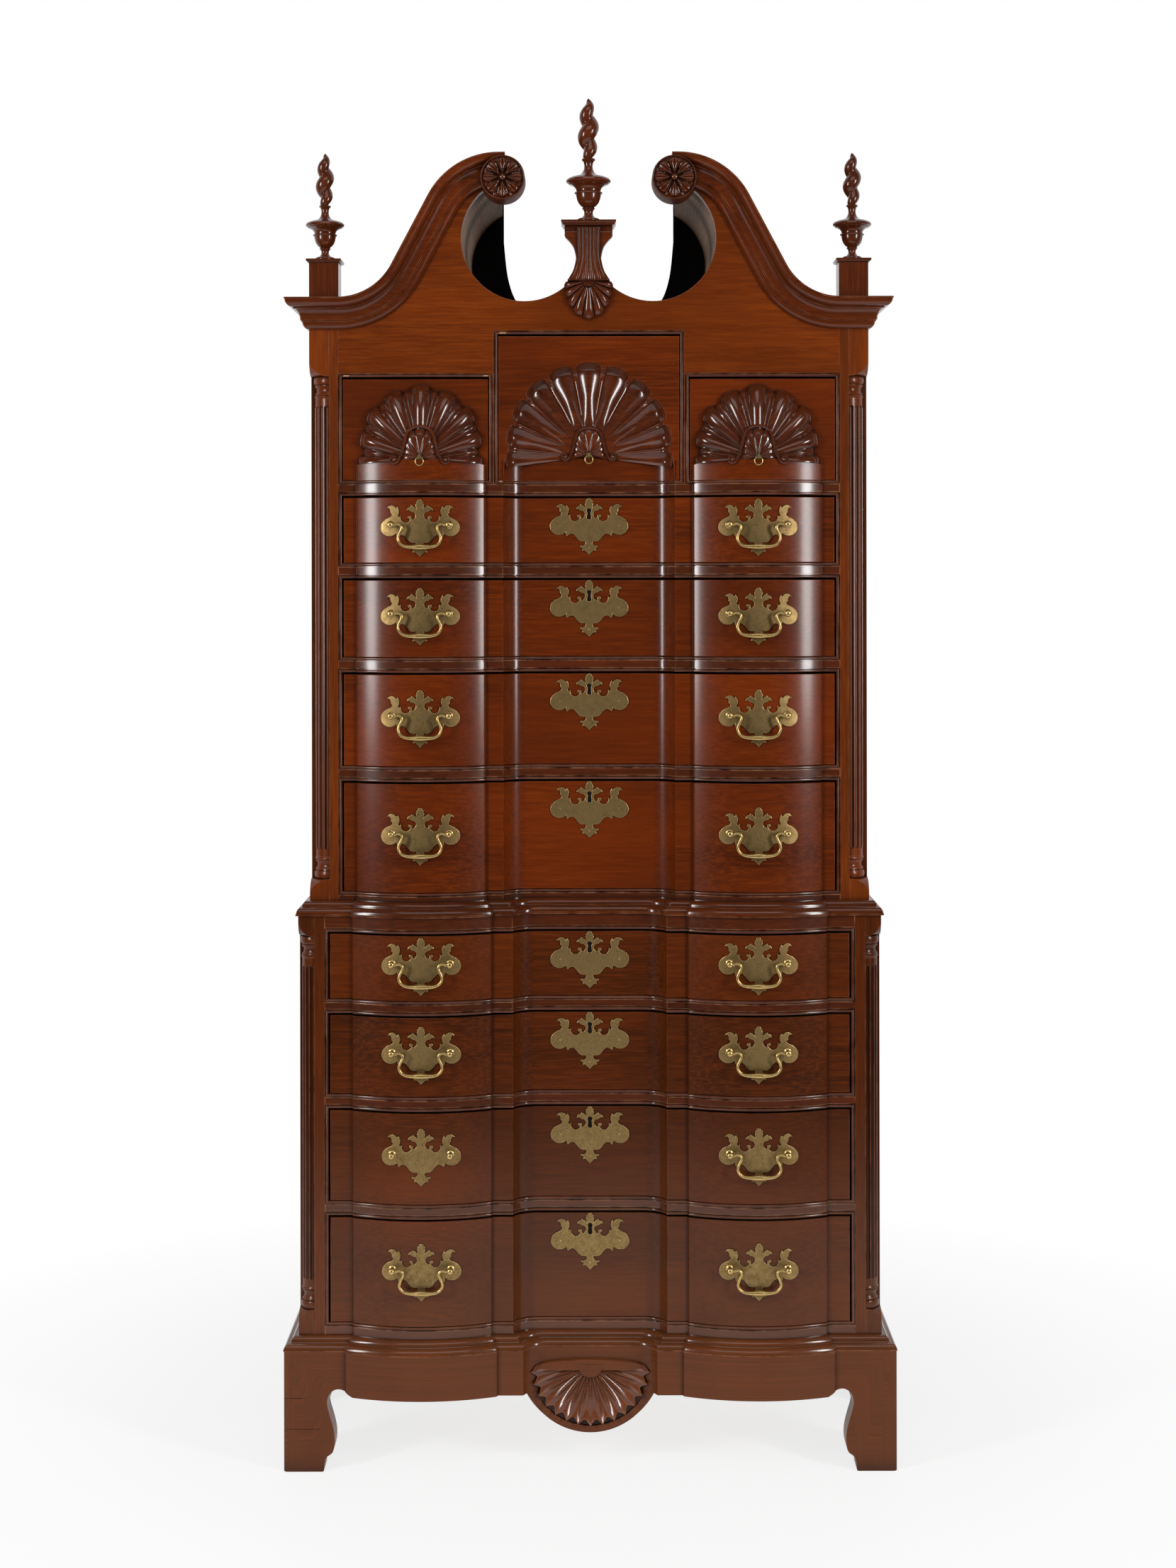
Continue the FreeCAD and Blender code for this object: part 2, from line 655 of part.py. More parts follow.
def rosettes():
    """Drum with two lobed petals to each eighth, rising to a small boss."""
    def section(angle, swell):
        rise = ROSETTE_CARVING - LOBE_RELIEF * 0.5 * (1 - swell)
        return [(3, 0), (3, ROSETTE_CARVING * 0.6), (ROSETTE_R * 0.7, rise),
                (ROSETTE_R - 1, 0)]

    halves = [fan(ROSETTE_PETALS, 180, start, section) for start in (0, 180)]
    place = V(-ROSETTE_X, UPPER.front - ROSETTE_OUT, ROSETTE_Z)
    solids = [rosette_drum()] + [half.translated(place) for half in halves]
    return [s for solid in solids for s in both(solid)]


def hole_disc(y, depth, radius=HOLE_R):
    return disc(-HOLE_X, y, HOLE_Z, radius, depth, HOLE_SIDES)


def tympanum():
    """Scroll board: swan-neck top, two round holes and the stem behind the centre plinth."""
    y = UPPER.front
    top = neck_points(-UPPER_OPEN, -ROSETTE_X, 0, y)
    down = [V(-ROSETTE_X, y, HOLE_Z), V(0, y, HOLE_Z), V(0, y, CENTRE_SHELL_TOP),
            V(-SHELL_OPEN, y, CENTRE_SHELL_TOP), V(-SHELL_OPEN, y, SIDE_SHELL_TOP),
            V(-UPPER_OPEN, y, SIDE_SHELL_TOP)]
    left = prism(top + down, V(0, TYMPANUM_THICK, 0))
    stem_top = PLINTH_TOP - PLINTH_CAP
    stem = box(-STEM_HALF, 0, y, y + TYMPANUM_THICK, CENTRE_SHELL_TOP, stem_top)
    left = left.cut(hole_disc(y - 1, TYMPANUM_THICK + 2)).fuse(stem)
    left = left.cut(rosette_drum())
    return [left.fuse(mirrored(left)).removeSplitter()]


def upper_back():
    """Back board, carried up behind the bonnet, with its U-shaped opening."""
    low = HOLE_Z - HOLE_R
    edge = -UPPER.half + SIDE_THICK
    top = neck_points(edge, -ROSETTE_X, ROOF_THICK, BACK_IN)
    left = prism(top + [V(-ROSETTE_X, BACK_IN, LOWER_TOP), V(edge, BACK_IN, LOWER_TOP)],
                 V(0, BACK_THICK, 0))
    left = left.fuse(box(-ROSETTE_X, 0, BACK_IN, BACK, LOWER_TOP, HOLE_Z))
    shoulder = HOLE_Z + HOLE_R / 2
    bend = curve((-BACK_HOLE_HALF, shoulder),
                 (BACK_HOLE_BEND_IN - BACK_HOLE_HALF, low + HOLE_R * 0.45),
                 (BACK_HOLE_FOOT_IN - HOLE_X, low), 5)
    outline = [(0, low), (0, CREST), (-BACK_HOLE_HALF, CREST), (-BACK_HOLE_HALF, shoulder)]
    left = left.cut(prism([V(x, BACK_IN, z) for x, z in outline + bend], V(0, BACK_THICK, 0)))
    return [left.fuse(mirrored(left)).removeSplitter()]


def bonnet_boards():
    """Curved roof boards, hole linings, scroll ends and the floor of the channel."""
    start = UPPER.front + TYMPANUM_THICK
    outer = neck_points(-UPPER.half, -ROSETTE_X, 0, start)
    inner = neck_points(-UPPER.half, -ROSETTE_X, ROOF_THICK, start)
    roof = prism(outer + list(reversed(inner)), V(0, BACK - start, 0))
    depth = BACK_IN - start
    ring = hole_disc(start, depth, HOLE_R + LINING_THICK).cut(hole_disc(start, depth))
    keep = box(-HOLE_X - HOLE_R - LINING_THICK, -ROSETTE_X, start, BACK_IN, HOLE_Z,
               HOLE_Z + HOLE_R + LINING_THICK)
    keep = keep.fuse(box(-HOLE_X - HOLE_R - LINING_THICK, -HOLE_X, start, BACK_IN,
                         HOLE_Z - HOLE_R - LINING_THICK, HOLE_Z))
    lining = ring.common(keep.removeSplitter())
    reach = math.sqrt((HOLE_R + LINING_THICK) ** 2 - (ROSETTE_X - HOLE_X) ** 2)
    end = box(-ROSETTE_X - LINING_THICK, -ROSETTE_X, start + FRONT_THICK, BACK_IN,
              HOLE_Z + reach, CREST - ROOF_THICK)
    floor = box(-HOLE_X, HOLE_X, start, BACK_IN, HOLE_Z - HOLE_R - LINING_THICK,
                HOLE_Z - HOLE_R)
    return both(roof) + both(lining.cut(end)) + both(end) + [floor]


def centre_plinth():
    """Waisted plinth with its cap, and the small shell that hangs below it."""
    y = UPPER.front
    low, high = PLINTH_Z, PLINTH_TOP - PLINTH_CAP - PLINTH_HEAD
    bend = curve((-PLINTH_FOOT_HALF, low), (-PLINTH_WAIST_HALF, low + PLINTH_WAIST_UP),
                 (-PLINTH_HEAD_HALF, high), 6)
    outline = [(0, high), (0, low), (-PLINTH_FOOT_HALF, low)] + bend
    half = prism([V(x, y, z) for x, z in outline], V(0, -PLINTH_OUT, 0))
    body = half.fuse(mirrored(half)).removeSplitter()
    head = box(-PLINTH_HEAD_HALF, PLINTH_HEAD_HALF, y - PLINTH_OUT - 2, y, high,
               high + PLINTH_HEAD)
    cap = box(-PLINTH_CAP_HALF, PLINTH_CAP_HALF, y - PLINTH_OUT - 8, y + TYMPANUM_THICK + 4,
              PLINTH_TOP - PLINTH_CAP, PLINTH_TOP)

    def section(angle, swell):
        stretch = math.hypot(math.cos(angle), PLINTH_SHELL_HIGH / PLINTH_SHELL_R
                             * math.sin(angle))
        r = PLINTH_SHELL_R * stretch
        top = PLINTH_SHELL_RISE - LOBE_RELIEF * 0.4 * (1 - swell)
        return [(6, 0), (6, PLINTH_SHELL_RISE), (r * 0.6, top), (r, 0)]

    shell = fan(SHELL_LOBES, 180, 180, section).translated(V(0, y, low))
    return [body, head, cap, shell]


def corner_plinths():
    x, y = UPPER.half - CORNER_PLINTH, UPPER.front
    post = box(x, UPPER.half, y, y + CORNER_PLINTH, CORNICE_TOP,
               CORNICE_TOP + CORNER_PLINTH_HIGH)
    out = CORNER_CAP_OUT
    top = CORNICE_TOP + CORNER_PLINTH_HIGH
    cap = box(x - out, UPPER.half + out, y - out, y + CORNER_PLINTH + out, top,
              top + CORNER_CAP)
    return both(post) + both(cap)


def finial(place, scale):
    """Turned urn and saucer with a flame of twisted strands."""
    turns = [2 * math.pi * i / FINIAL_SIDES for i in range(FINIAL_SIDES)]
    urn = skin([[V(r * math.cos(a), r * math.sin(a), h) * scale for a in turns]
                for r, h in FINIAL_PROFILE])
    base = FINIAL_PROFILE[-1][1]
    wires = []
    corners = FLAME_STRANDS * 3
    levels = 6
    for level in range(levels + 1):
        share = level / levels
        swell = math.sin(math.pi * (0.12 + 0.86 * share)) ** 0.8
        radius = FLAME_R * scale * max(swell, 0.08)
        points = []
        for i in range(corners):
            angle = 2 * math.pi * i / corners + math.radians(FLAME_TURN) * share
            r = radius * (0.68 if i % 3 == 0 else 1.0)
            points.append(V(r * math.cos(angle), r * math.sin(angle),
                            (base + FLAME_HIGH * share) * scale))
        wires.append(points)
    return [s.translated(place) for s in (urn, skin(wires))]


def finials():
    centre = V(0, UPPER.front + (TYMPANUM_THICK - PLINTH_OUT) / 2, PLINTH_TOP)
    corner = V(UPPER.half - CORNER_PLINTH / 2, UPPER.front + CORNER_PLINTH / 2,
               CORNICE_TOP + CORNER_PLINTH_HIGH + CORNER_CAP)
    corners = [s for solid in finial(corner, CORNER_FINIAL_SCALE) for s in both(solid)]
    return finial(centre, 1.0) + corners


# Drawers
def drawer_box(x0, x1, y, back, z0, z1):
    """Two sides, a back and a bottom behind a drawer front."""
    low, high = z0 + RUN_GAP, z1 - TOP_GAP - SIDE_LOWER
    floor = low + BOTTOM_RAISE
    left = box(x0, x0 + DRAWER_SIDE, y, back, low, high)
    right = box(x1 - DRAWER_SIDE, x1, y, back, low, high)
    bottom = box(x0 + DRAWER_SIDE, x1 - DRAWER_SIDE, y, back, floor, floor + DRAWER_BOTTOM)
    rear = box(x0 + DRAWER_SIDE, x1 - DRAWER_SIDE, back - DRAWER_SIDE, back,
               floor + DRAWER_BOTTOM, high - BACK_LOWER)
    return [left, right, bottom, rear]


def drawer_back():
    return BACK_IN - BEHIND_DRAWER


def wide_drawer(plan, half, span):
    y = plan.front + FRONT_THICK
    front = blocked_board(plan, half, span[0] + RUN_GAP, span[1] - TOP_GAP, y, INSET)
    return [front] + drawer_box(-half, half, y, drawer_back(), *span)


def shell_profile(base_r, side_r, high_r, rise, rim):
    """Radial section of a drawer's shell: low at its lobed rim, full towards the boss."""
    def section(angle, swell):
        r = math.hypot(side_r * math.cos(angle), high_r * math.sin(angle))
        relief = LOBE_RELIEF * (1 - swell)
        return [(base_r, 0), (base_r, rise), (r * 0.55, rise - relief * 0.6),
                (r * 0.85, rise * 0.62 - relief), (r + rim * swell, 0)]
    return section


def shell_boss(x, y, z, rise, depth):
    """Half-round boss that fills the root of a fan and carries the ring."""
    turns = [math.pi * i / (2 * SHELL_LOBES) for i in range(2 * SHELL_LOBES + 1)]
    return prism([V(x + SHELL_BOSS * math.cos(t), y - rise, z + SHELL_BOSS * math.sin(t))
                  for t in turns], V(0, depth, 0))


def side_shell_drawer():
    """Left top drawer: the block of the drawers below ends in a raised shell."""
    x0, x1 = -UPPER_DRAWER_HALF, -SHELL_OPEN - DIVIDER - SIDE_GAP
    low, high = SHELL_Z + RUN_GAP, SIDE_SHELL_TOP - TOP_GAP
    y, back = UPPER.front + INSET, UPPER.front + FRONT_THICK
    board = box(x0, x1, y, back, low, high)
    left, right = -UPPER.block_out, -UPPER.block_in
    raised = prism([V(x, y - rise, low) for x, rise in block(left, right)],
                   V(0, 0, SIDE_SHELL_BASE))
    half, middle = (right - left) / 2, (right + left) / 2
    section = shell_profile(SHELL_BOSS, half - SHELL_RIM, SIDE_SHELL_HIGH - SHELL_RIM,
                            SIDE_SHELL_RISE, SHELL_RIM)
    root = low + SIDE_SHELL_BASE
    carved = fan(SHELL_LOBES, 180, 0, section).translated(V(middle, y, root))
    rise = SIDE_SHELL_RISE + SHELL_BOSS_OVER
    boss = shell_boss(middle, y, root, rise, rise)
    span = (SHELL_Z, SIDE_SHELL_TOP)
    return [board, raised, carved, boss] + drawer_box(x0, x1, back, drawer_back(), *span)


def centre_shell_drawer():
    """Tall middle drawer: the hollow of the drawers below ends in a sunk shell."""
    half = SHELL_DRAWER_HALF
    low, high = SHELL_Z + RUN_GAP, CENTRE_SHELL_TOP - TOP_GAP
    y, back = UPPER.front + INSET, UPPER.front + FRONT_THICK
    board = box(-half, half, y, back, low, high)
    scoop = prism([V(x, y - rise, low) for x, rise in hollow(-UPPER.recess, UPPER.recess)],
                  V(0, 0, CENTRE_SHELL_BASE + CENTRE_CORE))

    def section(angle, swell):
        r = math.hypot(CENTRE_SHELL_HALF * math.cos(angle),
                       CENTRE_SHELL_HIGH * math.sin(angle))
        relief = LOBE_RELIEF * swell
        return [(CENTRE_CORE, 1), (CENTRE_CORE, -CENTRE_SHELL_DEEP), (r * 0.6, relief - CENTRE_SHELL_DEEP),
                (r * 0.9, relief - CENTRE_SHELL_DEEP * 0.6), (r, 1)]

    root = low + CENTRE_SHELL_BASE
    sunk = fan(SHELL_LOBES, 180, 0, section).translated(V(0, y, root))
    sunk = sunk.cut(shell_boss(0, y, root + CENTRE_CORE, SHELL_BOSS_OVER - CENTRE_SHELL_DEEP,
                               FRONT_THICK))
    span = (SHELL_Z, CENTRE_SHELL_TOP)
    front = board.cut(scoop).cut(sunk)
    return [front] + drawer_box(-half, half, back, drawer_back(), *span)


# Brasses
def plate_outline(x, y, z):
    """Bat-wing plate: pierced crest, two round ears and a pointed foot."""
    start = math.radians(62)
    end = math.radians(-108)
    ear = [start + (end - start) * i / EAR_STEPS for i in range(EAR_STEPS + 1)]
    half = PLATE_TOP + [(EAR_X + EAR_R * math.cos(a), EAR_Z + EAR_R * math.sin(a)) for a in ear]
    half += PLATE_FOOT
    other = [(-px, pz) for px, pz in reversed(half[1:-1])]
    return [V(x + px, y, z + pz) for px, pz in half + other]


def stub(x, y, z, stations):
    """Turned piece that stands out of a surface: stations of (out, radius)."""
    turns = [2 * math.pi * i / WIRE_SIDES for i in range(WIRE_SIDES)]
    return skin([[V(x + r * math.cos(a), y - out, z + r * math.sin(a)) for a in turns]
                 for out, r in stations])


def pull_plate(x, y, z):
    plate = prism(plate_outline(x, y, z), V(0, -PLATE_THICK, 0))
    stations = [(0, POST_R), (POST_LONG - PLATE_THICK, POST_HEAD_R)]
    posts = [stub(x + side * POST_SPACING / 2, y - PLATE_THICK, z, stations)
             for side in (-1, 1)]
    return [plate] + posts


def escutcheon(y, z):
    """Plate of the same outline with a keyhole."""
    plate = prism(plate_outline(0, y, z), V(0, -PLATE_THICK, 0))
    angles = [math.radians(-60 + 300 * i / 4) for i in range(5)]
    key = [(KEY_R * math.cos(a), KEY_R * math.sin(a)) for a in angles]
    key += [(-KEY_SLOT / 2 - 0.8, -KEY_LONG), (KEY_SLOT / 2 + 0.8, -KEY_LONG)]
    hole = prism([V(px, y + 1, z + pz) for px, pz in key], V(0, -PLATE_THICK - 2, 0))
    return plate.cut(hole)


def pull_places(plan):
    return {"left": -(plan.block_out + plan.block_in) / 2,
            "right": (plan.block_out + plan.block_in) / 2}


def block_face(plan):
    """Foremost line of the blocks of a drawer front."""
    half = (plan.block_out - plan.block_in) / 2
    rise = BLOCK_ROUND + (half - BLOCK_ROUND) * math.tan(math.radians(BLOCK_CROWN / 2))
    return plan.front + INSET - rise


def pull_height(span):
    return (span[0] + span[1]) / 2 + POST_UP


def drawer_brass(plan, span):
    """Two pull plates with posts, the escutcheon and the lock case behind it."""
    z = pull_height(span)
    solids = []
    for x in pull_places(plan).values():
        solids += pull_plate(x, block_face(plan), z)
    key_z = span[1] - ESCUTCHEON_DROP + POST_UP
    solids.append(escutcheon(plan.front + INSET + RECESS_ROUND, key_z))
    back = plan.front + FRONT_THICK
    solids.append(box(-LOCK_WIDE / 2, LOCK_WIDE / 2, back, back + LOCK_THICK,
                      key_z - LOCK_HIGH / 2, key_z + LOCK_HIGH / 2))
    return solids


def wire(points):
    """Faceted wire through points of (x, z, radius) in the plane y = 0."""
    wires = []
    for i, (x, z, radius) in enumerate(points):
        before, after = points[max(i - 1, 0)], points[min(i + 1, len(points) - 1)]
        dx, dz = after[0] - before[0], after[1] - before[1]
        length = math.hypot(dx, dz)
        across = V(-dz / length, 0, dx / length)
        ring = []
        for k in range(WIRE_SIDES):
            a = 2 * math.pi * (k + 0.5) / WIRE_SIDES
            ring.append(V(x, 0, z) + across * (radius * math.cos(a))
                        + V(0, radius * math.sin(a), 0))
        wires.append(ring)
    return skin(wires)


def bail(x, y, z):
    """Swinging handle whose arms end against the heads of the two posts."""
    reach = POST_SPACING / 2 - POST_HEAD_R - BAIL_GAP
    right = [(reach, 0, BAIL_PATH[0][2])] + BAIL_PATH
    left = [(-px, pz, r) for px, pz, r in reversed(right[:-1])]
    return [wire(right + left).translated(V(x, y, z))]


def bail_places():
    """Name and pivot of every bail."""
    places = {}
    for stage, plan, spans in (("upper", UPPER, UPPER_SPANS), ("lower", LOWER, LOWER_SPANS)):
        for number, span in enumerate(reversed(spans), 1):
            for side, x in pull_places(plan).items():
                name = f"{stage}_bail_{number}_{side}"
                if name not in LOST_BAILS:
                    places[name] = V(x, block_face(plan) - BAIL_OUT, pull_height(span))
    return places


def shell_middle():
    return -(UPPER.block_out + UPPER.block_in) / 2


def ring_places():
    """Name and pivot of the ring pull of each shell drawer."""
    low, out = SHELL_Z + RUN_GAP, UPPER.front + INSET - SHELL_BOSS_OVER - RING_OUT
    side_z = low + SIDE_SHELL_BASE + SIDE_EYE_UP
    centre_z = low + CENTRE_SHELL_BASE + CENTRE_CORE + CENTRE_EYE_UP
    return {"left": V(shell_middle(), out - SIDE_SHELL_RISE, side_z),
            "right": V(-shell_middle(), out - SIDE_SHELL_RISE, side_z),
            "centre": V(0, out + CENTRE_SHELL_DEEP, centre_z)}


def ring_eye(pivot):
    """Small round plate with a post that carries the ring."""
    surface = pivot.y + RING_OUT
    plate = stub(pivot.x, surface, pivot.z, [(0, EYE_R), (EYE_THICK, EYE_R * 0.8)])
    gap = RING_WIRE + BAIL_GAP
    post = box(pivot.x - 1.5, pivot.x + 1.5, pivot.y - gap - 1.5, surface - EYE_THICK,
               pivot.z - gap - 1.5, pivot.z + gap + 1.5)
    hole = box(pivot.x - 2, pivot.x + 2, pivot.y - gap, pivot.y + gap, pivot.z - gap,
               pivot.z + gap)
    return [plate, post.cut(hole)]


def ring(pivot):
    """Plain ring that hangs from the post."""
    wires = []
    for i in range(RING_STEPS + 1):
        a = 2 * math.pi * i / RING_STEPS
        centre = V(RING_R * math.sin(a), 0, -RING_R + RING_R * math.cos(a))
        out = V(math.sin(a), 0, math.cos(a))
        corners = [math.pi / 2 * (k + 0.5) for k in range(4)]
        wires.append([centre + out * (RING_WIRE * math.cos(c))
                      + V(0, RING_WIRE * math.sin(c), 0) for c in corners])
    halves = [skin(wires[:RING_STEPS // 2 + 1]), skin(wires[RING_STEPS // 2:])]
    whole = halves[0].fuse(halves[1]).removeSplitter()
    return [whole.translated(pivot)]


def all_nodes():
    nodes = {
        "base_front": base_front(),
        "base_sides": base_sides(),
        "base_moulding": base_moulding(),
        "lower_sides": side_boards(LOWER, LOWER_COLUMN, BASE_HEIGHT, LOWER_TOP),
        "lower_back": [box(SIDE_THICK - LOWER.half, LOWER.half - SIDE_THICK, BACK_IN, BACK,
                           BASE_HEIGHT, LOWER_TOP)],
        "lower_front": lower_front(),
        "lower_runners": lower_runners(),
        "quarter_columns": quarter_columns(),
        "waist_moulding": waist_moulding(),
        "upper_sides": side_boards(UPPER, UPPER_COLUMN, LOWER_TOP, CORNICE_TOP - ROOF_THICK),
        "upper_back": upper_back(),
        "upper_front": upper_front(),
        "upper_runners": upper_runners(),
        "tympanum": tympanum(),
        "cornice": [s for solid in swan_neck() for s in both(solid)],
        "rosettes": rosettes(),
        "bonnet_boards": bonnet_boards(),
        "centre_plinth": centre_plinth(),
        "corner_plinths": corner_plinths(),
        "finials": finials(),
        "shell_drawer_left": side_shell_drawer(),
        "shell_drawer_right": [mirrored(s) for s in side_shell_drawer()],
        "shell_drawer_centre": centre_shell_drawer(),
    }
    for stage, plan, half, spans in (("upper", UPPER, UPPER_DRAWER_HALF, UPPER_SPANS),
                                     ("lower", LOWER, LOWER_DRAWER_HALF, LOWER_SPANS)):
        for number, span in enumerate(reversed(spans), 1):
            nodes[f"{stage}_drawer_{number}"] = wide_drawer(plan, half, span)
            nodes[f"{stage}_brass_{number}"] = drawer_brass(plan, span)
    for name, pivot in bail_places().items():
        nodes[name] = bail(pivot.x, pivot.y, pivot.z)
    for name, pivot in ring_places().items():
        nodes[f"ring_eye_{name}"] = ring_eye(pivot)
        nodes[f"ring_{name}"] = ring(pivot)
    return nodes


os.makedirs("parts", exist_ok=True)
NODES = all_nodes()
for node, solids in NODES.items():
    Part.makeCompound(solids).exportStep(f"parts/{node}.step")
print(len(NODES), "nodes,", sum(len(solids) for solids in NODES.values()), "solids")
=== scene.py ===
# %% [markdown]
# # A block-front chest-on-chest in mahogany
# Two cases of drawers stand one on the other under a broken scroll pediment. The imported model
# gives the true sizes and the moving bodies; this script dresses it. Sizes below are written in
# millimetres, as on a workshop drawing, and turned into metres when a mesh is made.

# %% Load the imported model
import math
import zlib
from collections import namedtuple

import bmesh
import bpy
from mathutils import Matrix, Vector


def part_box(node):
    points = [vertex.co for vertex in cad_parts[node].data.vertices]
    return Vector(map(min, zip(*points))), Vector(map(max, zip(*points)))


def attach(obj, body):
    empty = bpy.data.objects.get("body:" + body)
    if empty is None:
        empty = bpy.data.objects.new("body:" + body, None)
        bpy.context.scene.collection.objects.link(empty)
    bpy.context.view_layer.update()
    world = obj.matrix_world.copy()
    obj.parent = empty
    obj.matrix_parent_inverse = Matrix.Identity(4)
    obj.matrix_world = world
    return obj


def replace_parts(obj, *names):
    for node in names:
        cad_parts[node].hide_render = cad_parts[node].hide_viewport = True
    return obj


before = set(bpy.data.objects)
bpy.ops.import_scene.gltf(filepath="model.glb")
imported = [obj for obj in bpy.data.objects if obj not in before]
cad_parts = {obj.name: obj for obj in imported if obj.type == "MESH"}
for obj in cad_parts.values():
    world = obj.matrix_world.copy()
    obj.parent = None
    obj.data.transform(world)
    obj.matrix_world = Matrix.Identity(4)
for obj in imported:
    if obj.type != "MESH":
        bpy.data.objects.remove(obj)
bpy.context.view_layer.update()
scene = bpy.context.scene
MM = 0.001

# %% [markdown]
# ## Helpers that make a piece
# Almost every piece of furniture is a board with a moulded edge, so most meshes here are rows of
# points joined into skins. A shape is a pair of lists, points and faces, in millimetres.

# %% Shapes
def corners(node):
    """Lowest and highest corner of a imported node, in millimetres."""
    low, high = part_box(node)
    return low / MM, high / MM


def steps(low, high, count):
    """Values from low to high in equal steps, with both ends."""
    return [low + (high - low) * i / count for i in range(count + 1)]


def skin(rings, caps=True, closed=True):
    """Points and faces between rows of equal length."""
    size = len(rings[0])
    points = [p for ring in rings for p in ring]
    faces = []
    for r in range(len(rings) - 1):
        for i in range(size if closed else size - 1):
            j = (i + 1) % size
            faces.append((r * size + i, r * size + j, (r + 1) * size + j, (r + 1) * size + i))
    if caps:
        faces.append(tuple(reversed(range(size))))
        faces.append(tuple(range((len(rings) - 1) * size, len(rings) * size)))
    return points, faces


def join(*shapes):
    points, faces = [], []
    for more, joined in shapes:
        start = len(points)
        points += more
        faces += [tuple(start + i for i in face) for face in joined]
    return points, faces


def flip(shape):
    """The same shape on the other side of the middle."""
    points, faces = shape
    return [(-x, y, z) for x, y, z in points], [tuple(reversed(face)) for face in faces]


def both(shape):
    return join(shape, flip(shape))


def mirrored_line(half):
    """A closed outline of (x, z) from its half on one side of the middle."""
    return half + [(-x, z) for x, z in reversed(half)]


print("shape helpers ready")

# %% [markdown]
# ### From a shape to a piece
# Each piece stores two numbers on its points: `board`, which shifts the wood figure so that no
# two boards match, and `dark`, painted shade in its grooves and hollows. Shading is smooth, except
# over edges that turn by more than a set angle.

# %% Pieces
SHARP_EDGE = math.radians(34)
WELD = 2e-6
SHIFT_PRIMES = (997, 991, 983)


def shade_edges(mesh):
    mesh.shade_smooth()
    mesh.set_sharp_from_angle(angle=SHARP_EDGE)


def mesh_of(name, shape, dark=None, weld=True):
    """A mesh from a shape; dark is a list of painted shade, a number for each point."""
    points, faces = shape
    mesh = bpy.data.meshes.new(name)
    mesh.from_pydata([Vector(p) * MM for p in points], [], faces)
    shade = mesh.attributes.new("dark", "FLOAT", "POINT")
    shade.data.foreach_set("value", dark or [0.0] * len(points))
    if weld:
        bm = bmesh.new()
        bm.from_mesh(mesh)
        bmesh.ops.remove_doubles(bm, verts=bm.verts, dist=WELD)
        bmesh.ops.recalc_face_normals(bm, faces=bm.faces)
        bm.to_mesh(mesh)
        bm.free()
    return mesh


def settle(piece, material, body):
    """Give a finished piece its wood or metal, its body and its own figure."""
    scene.collection.objects.link(piece)
    mesh = piece.data
    mesh.materials.append(material)
    shade_edges(mesh)
    seed, shift = zlib.crc32(piece.name.encode()), []
    for prime in SHIFT_PRIMES:
        shift.append(seed % prime / 100)
        seed //= prime
    board = mesh.attributes.new("board", "FLOAT_VECTOR", "POINT")
    board.data.foreach_set("vector", shift * len(mesh.vertices))
    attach(piece, body)
    return piece


def make(name, shape, material, body="case", dark=None, weld=True):
    piece = bpy.data.objects.new(name, mesh_of(name, shape, dark, weld))
    return settle(piece, material, body)


print("pieces are smooth up to", round(math.degrees(SHARP_EDGE)), "degrees")

# %% Boards and curves
def box(x0, x1, y0, y1, z0, z1, ease=0.6):
    """A board with eased edges, as eight-cornered rings that step in at each end."""
    def ring(z, inset):
        a, b, c, d = x0 + inset, x1 - inset, y0 + inset, y1 - inset
        return [(a + ease, c, z), (b - ease, c, z), (b, c + ease, z), (b, d - ease, z),
                (b - ease, d, z), (a + ease, d, z), (a, d - ease, z), (a, c + ease, z)]
    return skin([ring(z0, ease), ring(z0 + ease, 0), ring(z1 - ease, 0), ring(z1, ease)])


def arc(cx, cz, radius, start, end, count):
    """Points of (x, z) on an arc, angles in degrees."""
    angles = [math.radians(a) for a in steps(start, end, count)]
    return [(cx + radius * math.cos(a), cz + radius * math.sin(a)) for a in angles]


def smooth(points, per_span):
    """A curve of any dimension through every point, by Catmull-Rom spans."""
    line = []
    for i in range(len(points) - 1):
        p0, p1 = points[max(i - 1, 0)], points[i]
        p2, p3 = points[i + 1], points[min(i + 2, len(points) - 1)]
        for k in range(per_span):
            t = k / per_span
            line.append(tuple(
                0.5 * (2 * b + (c - a) * t + (2 * a - 5 * b + 4 * c - d) * t * t
                       + (3 * b - a - 3 * c + d) * t ** 3)
                for a, b, c, d in zip(p0, p1, p2, p3)))
    return line + [tuple(points[-1])]


print("board and curve helpers ready")

# %% [markdown]
# ## Wood and brass
# Old mahogany is a red-brown ground with fine dark pores along the grain, broad bands of figure,
# painted shade in the hollows, edges made pale by wear and by painted highlight, and a little
# dust. Those effects are used by several finishes, so each is a node group that is built once.

# %% A small language for node groups
def group(name, inputs, outputs):
    """An empty shader node group with named sockets; inputs are (name, kind, value)."""
    tree = bpy.data.node_groups.new(name, "ShaderNodeTree")
    for label, kind, value in inputs:
        socket = tree.interface.new_socket(label, in_out="INPUT", socket_type="NodeSocket" + kind)
        if value is not None:
            socket.default_value = value
    for label, kind in outputs:
        tree.interface.new_socket(label, in_out="OUTPUT", socket_type="NodeSocket" + kind)
    return tree, tree.nodes.new("NodeGroupInput"), tree.nodes.new("NodeGroupOutput")


def feed(tree, node, values):
    """Fill a node's sockets; a value that is itself a socket is linked."""
    for key, value in values.items():
        if isinstance(value, bpy.types.NodeSocket):
            tree.links.new(value, node.inputs[key])
        else:
            node.inputs[key].default_value = value
    return node


def add(tree, kind, values=None, **settings):
    """A shader node with its settings and socket values."""
    node = tree.nodes.new("ShaderNode" + kind)
    for key, value in settings.items():
        setattr(node, key, value)
    return feed(tree, node, values or {})


